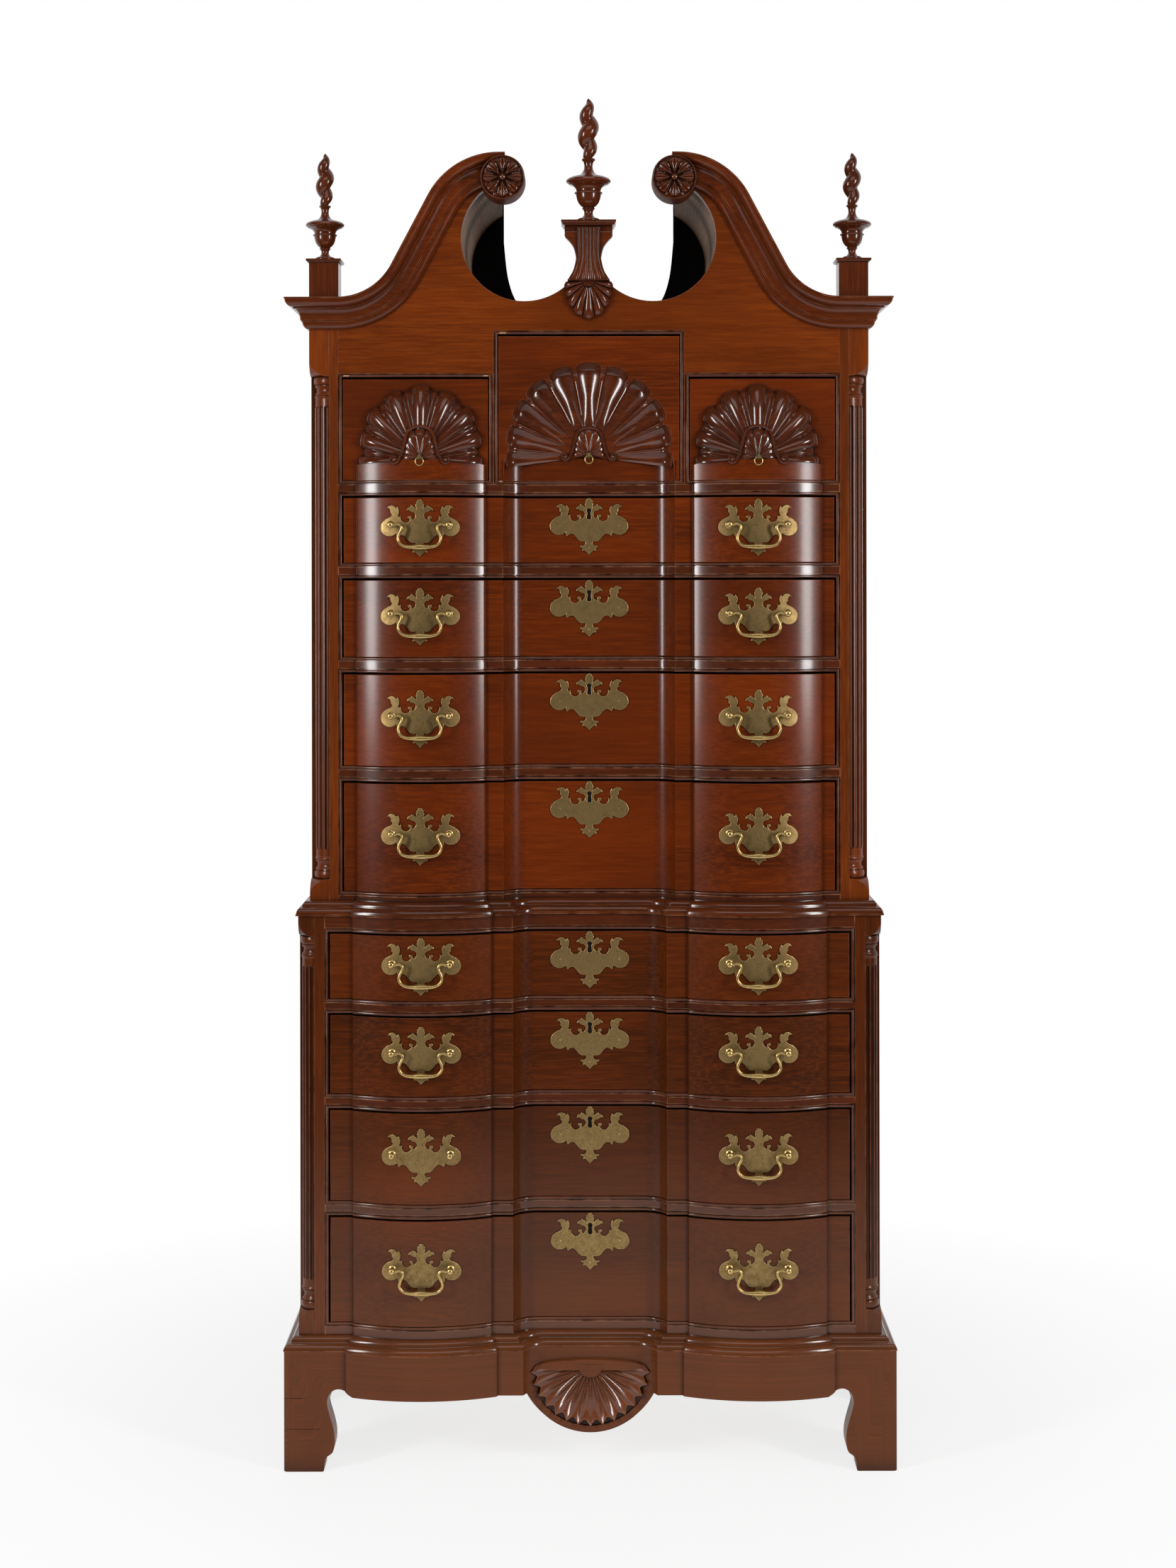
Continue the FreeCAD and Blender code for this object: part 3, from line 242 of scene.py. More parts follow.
def use(tree, node_group, values):
    """The outputs of a node group placed in a material."""
    return add(tree, "Group", values, node_tree=node_group).outputs


print("node tools ready")

# %% The words of that language
def ramp(tree, value, low, high, to_low=0.0, to_high=1.0):
    """Map a value from one range to another, held at the ends."""
    node = add(tree, "MapRange", {0: value, 1: low, 2: high, 3: to_low, 4: to_high})
    return node.outputs[0]


def maths(tree, operation, a, b, kind="Math"):
    return add(tree, kind, {0: a, 1: b}, operation=operation).outputs[0]


def times(tree, a, b):
    return maths(tree, "MULTIPLY", a, b)


def mix(tree, share, a, b):
    """Colour a turned into colour b by a share."""
    return add(tree, "Mix", {0: share, 6: a, 7: b}, data_type="RGBA").outputs[2]


def place_on(tree):
    """Where a point lies on the object, in metres."""
    return add(tree, "TexCoord").outputs["Object"]


def noise(tree, place, scale, detail=2.0, rough=0.5):
    return add(tree, "TexNoise", {"Vector": place, "Scale": scale, "Detail": detail,
                                  "Roughness": rough}).outputs["Fac"]


def bump(tree, height, strength, distance):
    node = add(tree, "Bump", {"Strength": strength, "Distance": distance, "Height": height})
    return node.outputs["Normal"]


def new_material(name):
    material = bpy.data.materials.new(name)
    material.use_nodes = True
    return material, material.node_tree, material.node_tree.nodes["Principled BSDF"]


def colour(red, green, blue):
    """A colour as a painter would mix it, 0 to 255, in the renderer's own scale."""
    def linear(v):
        v /= 255
        return v / 12.92 if v <= 0.04045 else ((v + 0.055) / 1.055) ** 2.4
    return (linear(red), linear(green), linear(blue), 1.0)


print("old mahogany is about", [round(v, 3) for v in colour(112, 45, 5)])

# %% [markdown]
# ### Grain
# Mahogany figure is stretched many times along the board. The vector is scaled down along the
# grain before it meets the noise, so round blobs become long streaks: a broad one for the bands
# of figure, a fine one for fibre, and a short sharp one for open pores. A last, unstretched one
# gives the patches where a board has darkened.

# %% Grain group
def grain_group():
    tree, start, end = group(
        "Grain", [("Stretch", "Vector", (0.06, 1.0, 1.0)), ("Figure Scale", "Float", 9.0)],
        [("Figure", "Float"), ("Fibre", "Float"), ("Pores", "Float"), ("Tone", "Float")])
    board = add(tree, "Attribute", attribute_name="board").outputs["Vector"]
    moved = maths(tree, "ADD", place_on(tree), board, "VectorMath")
    wander = add(tree, "TexNoise", {"Vector": moved, "Scale": 3.0}).outputs["Color"]
    bent = maths(tree, "MULTIPLY", wander, (0.012, 0.012, 0.012), "VectorMath")
    moved = maths(tree, "ADD", moved, bent, "VectorMath")
    along = maths(tree, "MULTIPLY", moved, start.outputs["Stretch"], "VectorMath")
    feed(tree, end, {
        "Figure": noise(tree, along, start.outputs["Figure Scale"], 5.0, 0.6),
        "Fibre": noise(tree, along, 260.0, 4.0, 0.65),
        "Pores": ramp(tree, noise(tree, along, 620.0, 1.0), 0.62, 0.72),
        "Tone": ramp(tree, noise(tree, moved, 2.6, 1.0), 0.42, 0.62)})
    return tree


GRAIN = grain_group()
print("grain:", len(GRAIN.nodes), "nodes")

# %% [markdown]
# ### Edges and hollows
# Edges are painted pale, partly as wear from dusting and partly as painted highlight, and corners
# and hollows dark with painted shade. The ambient occlusion node finds both: it looks outwards for
# corners and, turned inwards, for edges. A noise breaks the mask of the edges up, so that the pale
# edges come and go in patches.

# %% Edge wear group
RIM_DEPTH, CORNER_REACH = 0.0016, 0.045


def edge_group():
    tree, start, end = group(
        "Edge wear", [("Rubbed", "Float", 0.5), ("Reach", "Float", CORNER_REACH)],
        [("Worn", "Float"), ("Hollow", "Float")])
    # Edges: a pale mask for wear and painted highlight. Corners and hollows: painted shade, from
    # outward occlusion and each point's dark value.
    rim = add(tree, "AmbientOcclusion", {"Distance": RIM_DEPTH}, samples=4, inside=True,
              only_local=True).outputs["AO"]
    corner = add(tree, "AmbientOcclusion", {"Distance": start.outputs["Reach"]},
                 samples=6).outputs["AO"]
    patch = ramp(tree, noise(tree, place_on(tree), 45.0, 3.0), 0.35, 0.65)
    broken = times(tree, ramp(tree, rim, 0.9, 0.55), patch)
    drawn = add(tree, "Attribute", attribute_name="dark").outputs["Fac"]
    feed(tree, end, {"Worn": times(tree, broken, start.outputs["Rubbed"]),
                     "Hollow": maths(tree, "MAXIMUM", ramp(tree, corner, 0.88, 0.3), drawn)})
    return tree


EDGES = edge_group()
print("edge wear:", len(EDGES.nodes), "nodes")

# %% [markdown]
# ### Haze, scratches and specks
# The lower half has been knocked and wiped more than the upper: its polish is hazy, and small pale
# nicks and specks lie on it. Every finish also grows paler and duller towards the floor.

# %% Haze group
def haze_group():
    tree, start, end = group("Haze", [("Amount", "Float", 0.3)],
                             [("Haze", "Float"), ("Nicks", "Float")])
    place, amount = place_on(tree), start.outputs["Amount"]
    cloud = noise(tree, place, 7.0, 6.0, 0.6)
    haze = times(tree, ramp(tree, cloud, 0.35, 0.7), amount)
    height = add(tree, "SeparateXYZ", {0: place}).outputs["Z"]
    # Paler and duller towards the floor, on every finish.
    low = times(tree, ramp(tree, height, 0.7, 0.25, 0.0, 0.3),
                ramp(tree, cloud, 0.2, 0.6, 0.5, 1.0))
    speck = add(tree, "TexVoronoi", {"Vector": place, "Scale": 21.0}).outputs["Distance"]
    rare = ramp(tree, noise(tree, place, 4.0), 0.5, 0.56)
    dot = times(tree, ramp(tree, speck, 0.035, 0.02), rare)
    feed(tree, end, {"Haze": maths(tree, "MAXIMUM", haze, low), "Nicks": times(tree, dot, amount)})
    return tree


HAZE = haze_group()
print("haze:", len(HAZE.nodes), "nodes")

# %% [markdown]
# ### Polished mahogany
# The wood is built up as a polisher would see it: ground and figure first, then pores, haze,
# painted shade in the hollows, edges pale from wear and painted highlight, and nicks over them. A
# clear coat stands for the shellac. The two cases, the beads, the carving and the turned pieces
# differ in tone and gloss, so each has its own finish from the same recipe.

# %% Mahogany
ALONG = {"x": (0.05, 1.0, 1.0), "y": (1.0, 0.05, 1.0), "z": (1.0, 1.0, 0.05)}
PORE_BROWN, HAZE_TAN, PAINTED_SHADE_BLACK = colour(38, 18, 10), colour(134, 84, 50), colour(24, 11, 6)
RUB_AND_HIGHLIGHT_RED, NICK_PALE = colour(186, 126, 92), colour(214, 190, 160)


def mahogany(name, tones, along="x", *, coat, haze=0.0, rub_and_highlight=0.25, rough=0.3,
             reach=CORNER_REACH):
    """Polished mahogany: three tones, a grain direction and how old the polish looks."""
    light, mid, deep = (colour(*tone) for tone in tones)
    material, tree, shader = new_material(name)
    grain = use(tree, GRAIN, {"Stretch": ALONG[along], "Figure Scale": 9.0})
    edges = use(tree, EDGES, {"Rubbed": rub_and_highlight, "Reach": reach})
    old = use(tree, HAZE, {"Amount": haze})
    base = mix(tree, ramp(tree, grain["Figure"], 0.35, 0.68), deep, mid)
    base = mix(tree, ramp(tree, grain["Fibre"], 0.42, 0.72, 0.0, 0.55), base, light)
    # Over the ground: pores, haze, painted shade in corners and hollows, edges pale from wear and
    # painted highlight, and nicks.
    for share, strength, tone in (
            (grain["Tone"], 0.5, deep), (grain["Pores"], 0.3, PORE_BROWN),
            (old["Haze"], 0.7, HAZE_TAN), (edges["Hollow"], 0.88, PAINTED_SHADE_BLACK),
            (edges["Worn"], 1.0, RUB_AND_HIGHLIGHT_RED), (old["Nicks"], 1.0, NICK_PALE)):
        base = mix(tree, times(tree, share, strength), base, tone)
    dull = maths(tree, "ADD", times(tree, old["Haze"], 0.35), rough)
    dull = maths(tree, "ADD", dull, times(tree, grain["Fibre"], 0.08))
    height = maths(tree, "SUBTRACT", times(tree, grain["Fibre"], 0.4), grain["Pores"])
    feed(tree, shader, {"Base Color": base, "Roughness": dull, "Specular IOR Level": 0.08,
                        "Coat Weight": coat, "Coat Roughness": 0.15 if coat > 0.65 else 0.18,
                        "Normal": bump(tree, height, 0.12, 0.0006)})
    return material


print("the grain runs along", ", ".join(ALONG))

# %% Mahogany finishes
UPPER_TONES = ((132, 60, 8), (112, 45, 5), (76, 30, 4))
DRAWER_TONES = ((124, 50, 3), (102, 37, 2), (66, 23, 2))
BEAD_TONES = ((98, 42, 14), (76, 30, 9), (54, 22, 7))
CARVED_TONES = ((112, 48, 14), (86, 34, 9), (58, 23, 7))
LOWER_TONES = ((110, 47, 5), (86, 34, 4), (54, 21, 3))
BASE_TONES = ((116, 54, 18), (94, 41, 12), (66, 28, 9))
SHELL_TONES = ((130, 62, 24), (100, 44, 16), (70, 31, 12))
upper_wood = mahogany("Upper mahogany", UPPER_TONES, rough=0.32, coat=0.12)
upper_posts = mahogany("Upper mahogany upright", UPPER_TONES, "z", haze=0.04, rough=0.32,
                       coat=0.35)
upper_columns = mahogany("Upper column mahogany", UPPER_TONES, "z", haze=0.02, coat=0.35,
                         reach=0.008)
drawer_wood = mahogany("Drawer mahogany", DRAWER_TONES, coat=0.45)
bead_wood = mahogany("Bead mahogany", BEAD_TONES, haze=0.03, rub_and_highlight=0.8, coat=0.8, reach=0.008)
carved_wood = mahogany("Carved mahogany", CARVED_TONES, rub_and_highlight=0.1, rough=0.26, coat=0.9,
                       reach=0.005)
base_carving = mahogany("Base carved mahogany", SHELL_TONES, haze=0.02, rub_and_highlight=0.6, rough=0.26,
                        coat=0.9, reach=0.005)
turned_wood = mahogany("Turned mahogany", CARVED_TONES, "z", rub_and_highlight=0.1, rough=0.28, coat=0.8,
                       reach=0.006)
lower_wood = mahogany("Lower mahogany", LOWER_TONES, haze=0.01, rough=0.32, coat=0.35)
lower_posts = mahogany("Lower mahogany upright", LOWER_TONES, "z", haze=0.02, rough=0.34,
                       coat=0.35)
lower_columns = mahogany("Lower column mahogany", LOWER_TONES, "z", haze=0.02, coat=0.35,
                         reach=0.008)
neck_wood = mahogany("Neck mahogany", DRAWER_TONES, haze=0.1, rub_and_highlight=0.5, coat=0.7, reach=0.009)
mould_wood = mahogany("Moulding mahogany", LOWER_TONES, haze=0.02, rub_and_highlight=0.6, coat=0.8,
                      reach=0.009)
base_wood = mahogany("Base mahogany", BASE_TONES, haze=0.06, rough=0.38, coat=0.3)
side_wood = mahogany("Side mahogany", LOWER_TONES, "z", haze=0.08, rough=0.36, coat=0.3)
drum_wood = mahogany("Drum mahogany", CARVED_TONES, "z", rough=0.5, coat=0.1)
print("polished finishes, from", upper_wood.name, "to", drum_wood.name)

# %% [markdown]
# ### Pale wood and the dark inside
# Drawer sides, runners and backs are a cheaper wood, left raw. Inside the bonnet the boards still
# show tool marks, and the face of the back board that looks at the room is nearly black, partly
# old stain and partly painted shade.

# %% Raw wood and dark wood
def raw_wood(name, light, deep, along="y", marks=0.0, inside=None):
    """Unpolished board; a colour for inside blackens the faces that look at the room, as stain and
    painted shade.
    """
    light, deep = colour(*light), colour(*deep)
    material, tree, shader = new_material(name)
    grain = use(tree, GRAIN, {"Stretch": ALONG[along], "Figure Scale": 16.0})
    edges = use(tree, EDGES, {"Rubbed": 0.3})
    base = mix(tree, ramp(tree, grain["Figure"], 0.35, 0.65), deep, light)
    base = mix(tree, ramp(tree, grain["Fibre"], 0.45, 0.75, 0.0, 0.4), base, deep)
    rings = add(tree, "TexWave", {"Vector": place_on(tree), "Scale": 55.0, "Distortion": 3.0,
                                  "Detail": 2.0, "Detail Scale": 0.6}, wave_type="RINGS")
    line = times(tree, ramp(tree, rings.outputs["Fac"], 0.75, 1.0), marks)
    base = mix(tree, line, base, light)
    # Painted shade in corners and hollows.
    base = mix(tree, times(tree, edges["Hollow"], 0.5), base, colour(40, 26, 18))
    # Faces turned towards the room take the inside colour: old stain and painted shade together.
    if inside:
        normal = add(tree, "NewGeometry").outputs["Normal"]
        ahead = add(tree, "SeparateXYZ", {0: normal}).outputs["Y"]
        base = mix(tree, ramp(tree, ahead, -0.3, -0.6), base, colour(*inside))
    height = maths(tree, "ADD", grain["Fibre"], line)
    feed(tree, shader, {"Base Color": base, "Roughness": 0.7, "Specular IOR Level": 0.1,
                        "Normal": bump(tree, height, 0.3, 0.0008)})
    return material


box_wood = raw_wood("Drawer box wood", (206, 172, 126), (158, 118, 76))
back_wood = raw_wood("Back board wood", (150, 112, 74), (98, 68, 42), along="x")
runner_wood = raw_wood("Runner wood", (176, 138, 94), (122, 88, 56))
lining_wood = raw_wood("Lining wood", (136, 112, 94), (92, 70, 56), marks=0.6)
# Black board, also used as painted shade inside the bonnet and as a painted shadow in the keyholes.
dark_and_shade_wood = raw_wood("Dark board wood", (20, 14, 13), (9, 6, 6), along="x")
# Its room-facing face is blackened: old stain and painted shade.
bonnet_back = raw_wood("Bonnet back wood", (142, 104, 70), (92, 62, 40), along="x",
                       inside=(12, 8, 7))
chip_wood = raw_wood("Chip wood", (196, 146, 112), (156, 104, 74), along="x")
print("raw finishes, from", box_wood.name, "to", chip_wood.name)

# %% [markdown]
# ### Brass
# The plates have a dull olive skin with brown spots, bevelled edges painted bright by wear and by
# painted highlight, and painted shade in their hollows; the bails and post heads are handled, so
# they are paler and smoother.

# %% Brass finishes
def brass(name, bright, dull, rough, mottle):
    bright, dull = colour(*bright), colour(*dull)
    material, tree, shader = new_material(name)
    place = place_on(tree)
    cloud = noise(tree, place, 90.0, 8.0, 0.7)
    spots = noise(tree, place, 420.0, 3.0)
    edges = use(tree, EDGES, {"Rubbed": 1.0})
    base = mix(tree, times(tree, ramp(tree, cloud, 0.3, 0.6), mottle), bright, dull)
    brown = times(tree, ramp(tree, spots, 0.58, 0.68), mottle)
    base = mix(tree, brown, base, colour(84, 64, 34))
    # Bevels painted bright as wear and painted highlight; hollows darkened with painted shade.
    base = mix(tree, edges["Worn"], base, bright)
    base = mix(tree, times(tree, edges["Hollow"], 0.7), base, colour(50, 38, 22))
    feed(tree, shader, {"Base Color": base, "Metallic": 1.0,
                        "Roughness": ramp(tree, cloud, 0.3, 0.7, rough, rough + 0.2),
                        "Normal": bump(tree, spots, 0.2, 0.0004)})
    return material


plate_brass = brass("Plate brass", (180, 150, 100), (122, 98, 58), 0.36, 0.65)
bail_brass = brass("Bail brass", (216, 186, 124), (166, 134, 80), 0.26, 0.5)
print("brass finishes:", plate_brass.name, "and", bail_brass.name)

# %% [markdown]
# ## The blocked line
# Everything on the front follows one line seen from above: a flat, a raised block, a flat, a
# round-cornered hollow, and the same again. The blocks swell in a bow from end to end and turn in
# to the flat with a small round. The line is worked out once for each stage.

# %% Plans of the three stages
Plan = namedtuple("Plan", "half front block_out block_in recess")
lower_low, lower_high = corners("lower_sides")
upper_low, upper_high = corners("upper_sides")
base_high = corners("base_front")[1]
BACK = lower_high.y
BASE_STEP = base_high.x - lower_high.x
LOWER = Plan(lower_high.x, lower_low.y, 416.0, 170.5, 135.0)
UPPER = Plan(upper_high.x, upper_low.y, 409.5, 181.0, 151.5)
BASE = Plan(base_high.x, lower_low.y - BASE_STEP, 427.0, 161.0, 117.0)
BLOCK_ROUND, BLOCK_RISE = 8.0, 33.3
RECESS_DEPTH, RECESS_TURN = 30.0, 45.0
FRONT_THICK = 45.0
ROUND_STEPS, BOW_STEPS = 12, 14


def sweep_of(half):
    """Lean at the ends of a bowed block, and the radius of its bow."""
    lean = 2 * math.atan((BLOCK_RISE - BLOCK_ROUND) / (half - BLOCK_ROUND))
    return lean, (half - BLOCK_ROUND) / math.sin(lean) + BLOCK_ROUND


def bow(left, right):
    """Points of (x, rise) over a block: a bowed face between two rounds."""
    half, middle = (right - left) / 2, (left + right) / 2
    lean, sweep = sweep_of(half)
    points = [(half - BLOCK_ROUND + BLOCK_ROUND * math.cos(t), BLOCK_ROUND * math.sin(t))
              for t in steps(0, math.pi / 2 - lean, ROUND_STEPS)]
    for i in range(1, BOW_STEPS + 1):
        t = lean * (1 - i / BOW_STEPS)
        points.append((sweep * math.sin(t), BLOCK_RISE - sweep * (1 - math.cos(t))))
    left_side = [(middle - x, deep) for x, deep in points if x > 0]
    right_side = [(middle + x, deep) for x, deep in reversed(points)]
    return left_side + right_side


def hollow(half):
    """Points of (x, depth) over the hollow: flat, with a large round at each end."""
    reach = math.acos(1 - RECESS_DEPTH / RECESS_TURN)
    inner = half - RECESS_TURN * math.sin(reach)
    side = [(inner + RECESS_TURN * math.sin(t), RECESS_DEPTH - RECESS_TURN * (1 - math.cos(t)))
            for t in (reach * (1 - i / ROUND_STEPS) for i in range(ROUND_STEPS + 1))]
    return [(-x, deep) for x, deep in side] + [(x, deep) for x, deep in reversed(side)]


print("blocks rise", BLOCK_RISE, "mm and hollows sink", RECESS_DEPTH, "mm")

# %% Lines along a front
def front_line(plan, low=None, high=None):
    """Points of (x, y) along a blocked front between two ends."""
    block = bow(plan.block_in, plan.block_out)
    sunk = [(x, -deep) for x, deep in hollow(plan.recess)]
    line = [(-x, rise) for x, rise in reversed(block)] + sunk + block
    low = -plan.half if low is None else low
    high = plan.half if high is None else high
    kept = [(x, plan.front - rise) for x, rise in line if low < x < high]
    return [(low, plan.front)] + kept + [(high, plan.front)]


def shifted(line, out):
    """A line of (x, y) moved out towards the room by a distance, square to itself."""
    moved = []
    last = len(line) - 1
    for i, (x, y) in enumerate(line):
        spans = [line[j:j + 2] for j in (i - 1, i) if 0 <= j < last]
        nx, ny = 0.0, 0.0
        for (x0, y0), (x1, y1) in spans:
            size = math.hypot(x1 - x0, y1 - y0) or 1.0
            nx += (y1 - y0) / size / len(spans)
            ny -= (x1 - x0) / size / len(spans)
        reach = max(nx * nx + ny * ny, 0.4)
        moved.append((x + out * nx / reach, y + out * ny / reach))
    return moved


def between(a, b, share):
    return Plan(*[p + (q - p) * share for p, q in zip(a, b)])


print("lower front line has", len(front_line(LOWER)), "points")

# %% [markdown]
# ## Levels
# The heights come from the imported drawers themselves, so the beads always meet the openings.

# %% Openings, from the drawers
SIDE_GAP, TOP_GAP, RUN_GAP, INSET = 1.5, 1.5, 0.3, 1.0
BEAD_WIDE = 5.0
QUIRK = 1.5
FRAME_WIDE = BEAD_WIDE + QUIRK


def opening(node):
    """Opening round a drawer: x0, x1, z0, z1."""
    low, high = corners(node)
    return (low.x - SIDE_GAP, high.x + SIDE_GAP, low.z - RUN_GAP, high.z + TOP_GAP)


lower_open = [opening(f"lower_drawer_{n}") for n in (4, 3, 2, 1)]
upper_open = [opening(f"upper_drawer_{n}") for n in (4, 3, 2, 1)]
shell_open = {side: opening(f"shell_drawer_{side}") for side in ("left", "right", "centre")}
LOWER_Z, LOWER_TOP = lower_low.z, lower_high.z
UPPER_Z = corners("waist_moulding")[1].z
CORNICE_TOP = corners("corner_plinths")[0].z
print("openings:", len(lower_open) + len(upper_open) + len(shell_open))

# %% [markdown]
# ## Cock beads
# A small half-round bead with a narrow groove behind it frames each drawer. On this chest it is
# worked on the edge of the rails and follows the blocks. Each frame is one mitred loop, made by
# moving the front line outwards step by step round the bead's section.

# %% Beads round the openings
BEAD_PROUD, QUIRK_DEPTH = 1.1, -2.2


def bead_section():
    """Section of bead and groove, as (distance from the opening, distance out)."""
    radius = BEAD_WIDE / 2
    nose = [(radius - radius * math.cos(t), BEAD_PROUD - radius + radius * math.sin(t))
            for t in steps(0, math.pi, 8)]
    return nose + [(BEAD_WIDE, QUIRK_DEPTH), (FRAME_WIDE, QUIRK_DEPTH)]


def bead_frame(plan, span, top_blocked=True):
    """A mitred frame and, for each of its points, whether it lies in the groove."""
    x0, x1, z0, z1 = span
    back = plan.front + FRONT_THICK

    def loop(out, proud, at_back=False):
        ring = []
        for blocked, z in ((True, z0 - out), (top_blocked, z1 + out)):
            line = front_line(plan, x0 - out, x1 + out)
            if not blocked:
                line = [(x, plan.front) for x, y in line]
            line = [(x, back) for x, y in line] if at_back else shifted(line, proud)
            ring += [(x, y, z) for x, y in (line if z < z1 else reversed(line))]
        return ring

    loops = [loop(0.0, 0.0, True)] + [loop(out, proud) for out, proud in bead_section()]
    loops.append(loop(FRAME_WIDE, 0.0, True))
    points, faces = skin(loops + [loops[0]], caps=False)
    # Points in the groove behind the bead carry painted shade.
    groove = (len(loops) - 3, len(loops) - 2)
    return points, faces, [float(i // len(loops[0]) in groove) for i in range(len(points))]


frames = {"lower_beads": [bead_frame(LOWER, span) for span in lower_open],
          "upper_beads": [bead_frame(UPPER, span) for span in upper_open]}
for side in ("left", "right", "centre"):
    frames["upper_beads"].append(bead_frame(UPPER, shell_open[side], top_blocked=False))
for name, parts in frames.items():
    shade = [value for part in parts for value in part[2]]
    make(name, join(*[part[:2] for part in parts]), bead_wood, dark=shade)
print("bead frames:", sum(len(parts) for parts in frames.values()))

# %% [markdown]
# ## Rails, stiles and posts
# Between the beads lie the flat faces of the rails. The stiles stand beside them, and outside
# each stile a square post ends in a lamb's tongue, where it gives way to the quarter column.

# %% Rails
def blocked_board(plan, x0, x1, z0, z1, back, ease=0.3, setback=0.0):
    """A board with a blocked face, its front edges eased."""
    line = front_line(plan._replace(front=plan.front + setback), x0, x1)
    face = shifted(line, 0.0)
    eased = shifted(line, -ease)
    rings = [[(x, back, z0) for x, y in line], [(x, y, z0) for x, y in eased],
             [(x, y, z0 + ease) for x, y in face], [(x, y, z1 - ease) for x, y in face],
             [(x, y, z1) for x, y in eased], [(x, back, z1) for x, y in line]]
    columns = [[ring[i] for ring in rings] for i in range(len(line))]
    return skin(columns)


def rail_levels(bottom, spans, top):
    edges = [bottom] + [e for span in spans for e in (span[2] - FRAME_WIDE, span[3] + FRAME_WIDE)]
    edges.append(top)
    return list(zip(edges[0::2], edges[1::2]))


def case_rails(plan, spans, bottom, top):
    x0, x1 = spans[0][0] - FRAME_WIDE, spans[0][1] + FRAME_WIDE
    return [blocked_board(plan, x0, x1, low, high, plan.front + FRONT_THICK)
            for low, high in rail_levels(bottom, spans, top)]


shell_low = shell_open["centre"][2]
lower_rails = case_rails(LOWER, lower_open, LOWER_Z, LOWER_TOP)
upper_rails = case_rails(UPPER, upper_open, upper_low.z, shell_low - FRAME_WIDE)
make("lower_rails", join(*lower_rails), bead_wood)
make("upper_rails", join(*upper_rails), bead_wood)
print("rails:", len(lower_rails) + len(upper_rails))

# %% Stiles, dividers and the posts with their lamb's tongues
TONGUE = 26.0
columns_low, columns_high = corners("quarter_columns")
LOWER_COLUMN = (LOWER, 23.5, 4.0, columns_low.z, LOWER_TOP - 37.5)
UPPER_COLUMN = (UPPER, 27.5, 7.0, UPPER_Z + 37.0, columns_high.z)


def post(column, bottom, top):
    """Square corner post below and above a column, each ending in a curved chamfer."""
    plan, radius, setback, foot, head = column
    wide = radius + setback

    def ring(z, cut):
        cut = min(max(cut, 0.35), wide - 0.2)
        return [(plan.half - wide, plan.front, z), (plan.half - cut, plan.front, z),
                (plan.half, plan.front + cut, z), (plan.half, plan.front + wide, z),
                (plan.half - wide, plan.front + wide, z)]

    def tongue(share):
        """How deep the chamfer is, gentle at first and steep at its tip."""
        return wide * (0.22 * share + 0.78 * (1 - math.sqrt(1 - share ** 2.4)))

    cuts = [(TONGUE * (1 - share), tongue(share)) for share in steps(0, 1, 14)]
    lower = [ring(bottom, 0)] + [ring(foot - drop, cut) for drop, cut in cuts]
    upper = [ring(top, 0)] + [ring(head + rise, cut) for rise, cut in cuts]
    return join(skin(lower), skin(upper))


def stile(column, x0, bottom, top):
    plan, radius, setback = column[:3]
    edge = plan.half - radius - setback
    return box(x0, edge - 0.2, plan.front, plan.front + FRONT_THICK, bottom, top, 0.25)


upper_stile_top = CORNICE_TOP - 8.0
make("lower_posts", both(post(LOWER_COLUMN, LOWER_Z, LOWER_TOP)), lower_posts)
make("upper_posts", both(post(UPPER_COLUMN, upper_low.z, upper_stile_top)), upper_posts)
stiles = both(stile(LOWER_COLUMN, lower_open[0][1] + FRAME_WIDE, LOWER_Z, LOWER_TOP))
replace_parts(make("lower_stiles", stiles, lower_posts), "lower_front")
divider = box(shell_open["centre"][1] + FRAME_WIDE, shell_open["right"][0] - FRAME_WIDE,
              UPPER.front, UPPER.front + FRONT_THICK,
              shell_low - FRAME_WIDE, shell_open["right"][3] + FRAME_WIDE, 0.2)
stiles = both(stile(UPPER_COLUMN, upper_open[0][1] + FRAME_WIDE, upper_low.z, upper_stile_top))
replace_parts(make("upper_stiles", join(stiles, both(divider)), upper_posts), "upper_front")
print("stiles up to", round(LOWER_TOP), "and", round(upper_stile_top), "mm")

# %% [markdown]
# ## Sides
# The side boards run with their grain upright and stop behind the posts.

# %% Case sides
SIDE_THICK = 20.0


def case_side(column, bottom, top):
    plan, radius, setback = column[:3]
    start = plan.front + radius + setback
    return box(plan.half - SIDE_THICK, plan.half, start + 0.2, BACK, bottom, top, 0.4)


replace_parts(make("lower_side_boards", both(case_side(LOWER_COLUMN, LOWER_Z, LOWER_TOP)),
                 side_wood), "lower_sides")
upper_sides = both(case_side(UPPER_COLUMN, upper_low.z, upper_stile_top))
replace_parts(make("upper_side_boards", upper_sides, side_wood), "upper_sides")
print("side boards:", SIDE_THICK, "mm thick")

# %% [markdown]
# ## Quarter columns
# A quarter of a fluted shaft is let into each corner between turned rings. The flutes are stopped
# short with round ends, so the depth of each flute fades out where its end circle closes.

# %% Quarter columns
FLUTES, FLUTE_MARGIN = 4, 13.0
RINGS_HIGH = 38.0
RING_PROFILE = [(0, 0.6), (0.6, 1.4), (3, 2.2), (6.5, 2.5), (10, 2.2), (12.6, 1.2), (13.2, -0.6),
                (14.2, -0.8), (15, 0.6), (17, 0.4), (19.5, -1.4), (23, -2.4), (27, -1.8),
                (30, 0.2), (31.4, 0.6), (32, -0.3), (33, 0.4), (34.6, 1.4), (36.2, 1.2),
                (37.4, 0.2), (RINGS_HIGH, 0)]


def shaft_radius(angle, z, low, high, radius):
    """Radius of the fluted shaft at an angle in quarter turns."""
    share = angle * FLUTES % 1.0 - 0.5
    flute = radius * math.pi / 2 / FLUTES
    wide, across = flute * 0.36, abs(share) * flute
    end = max(low + wide - z, z - high + wide, 0.0)
    room = wide * wide - across * across - end * end
    return radius - (math.sqrt(room) * 0.95 if room > 0 else 0.0)


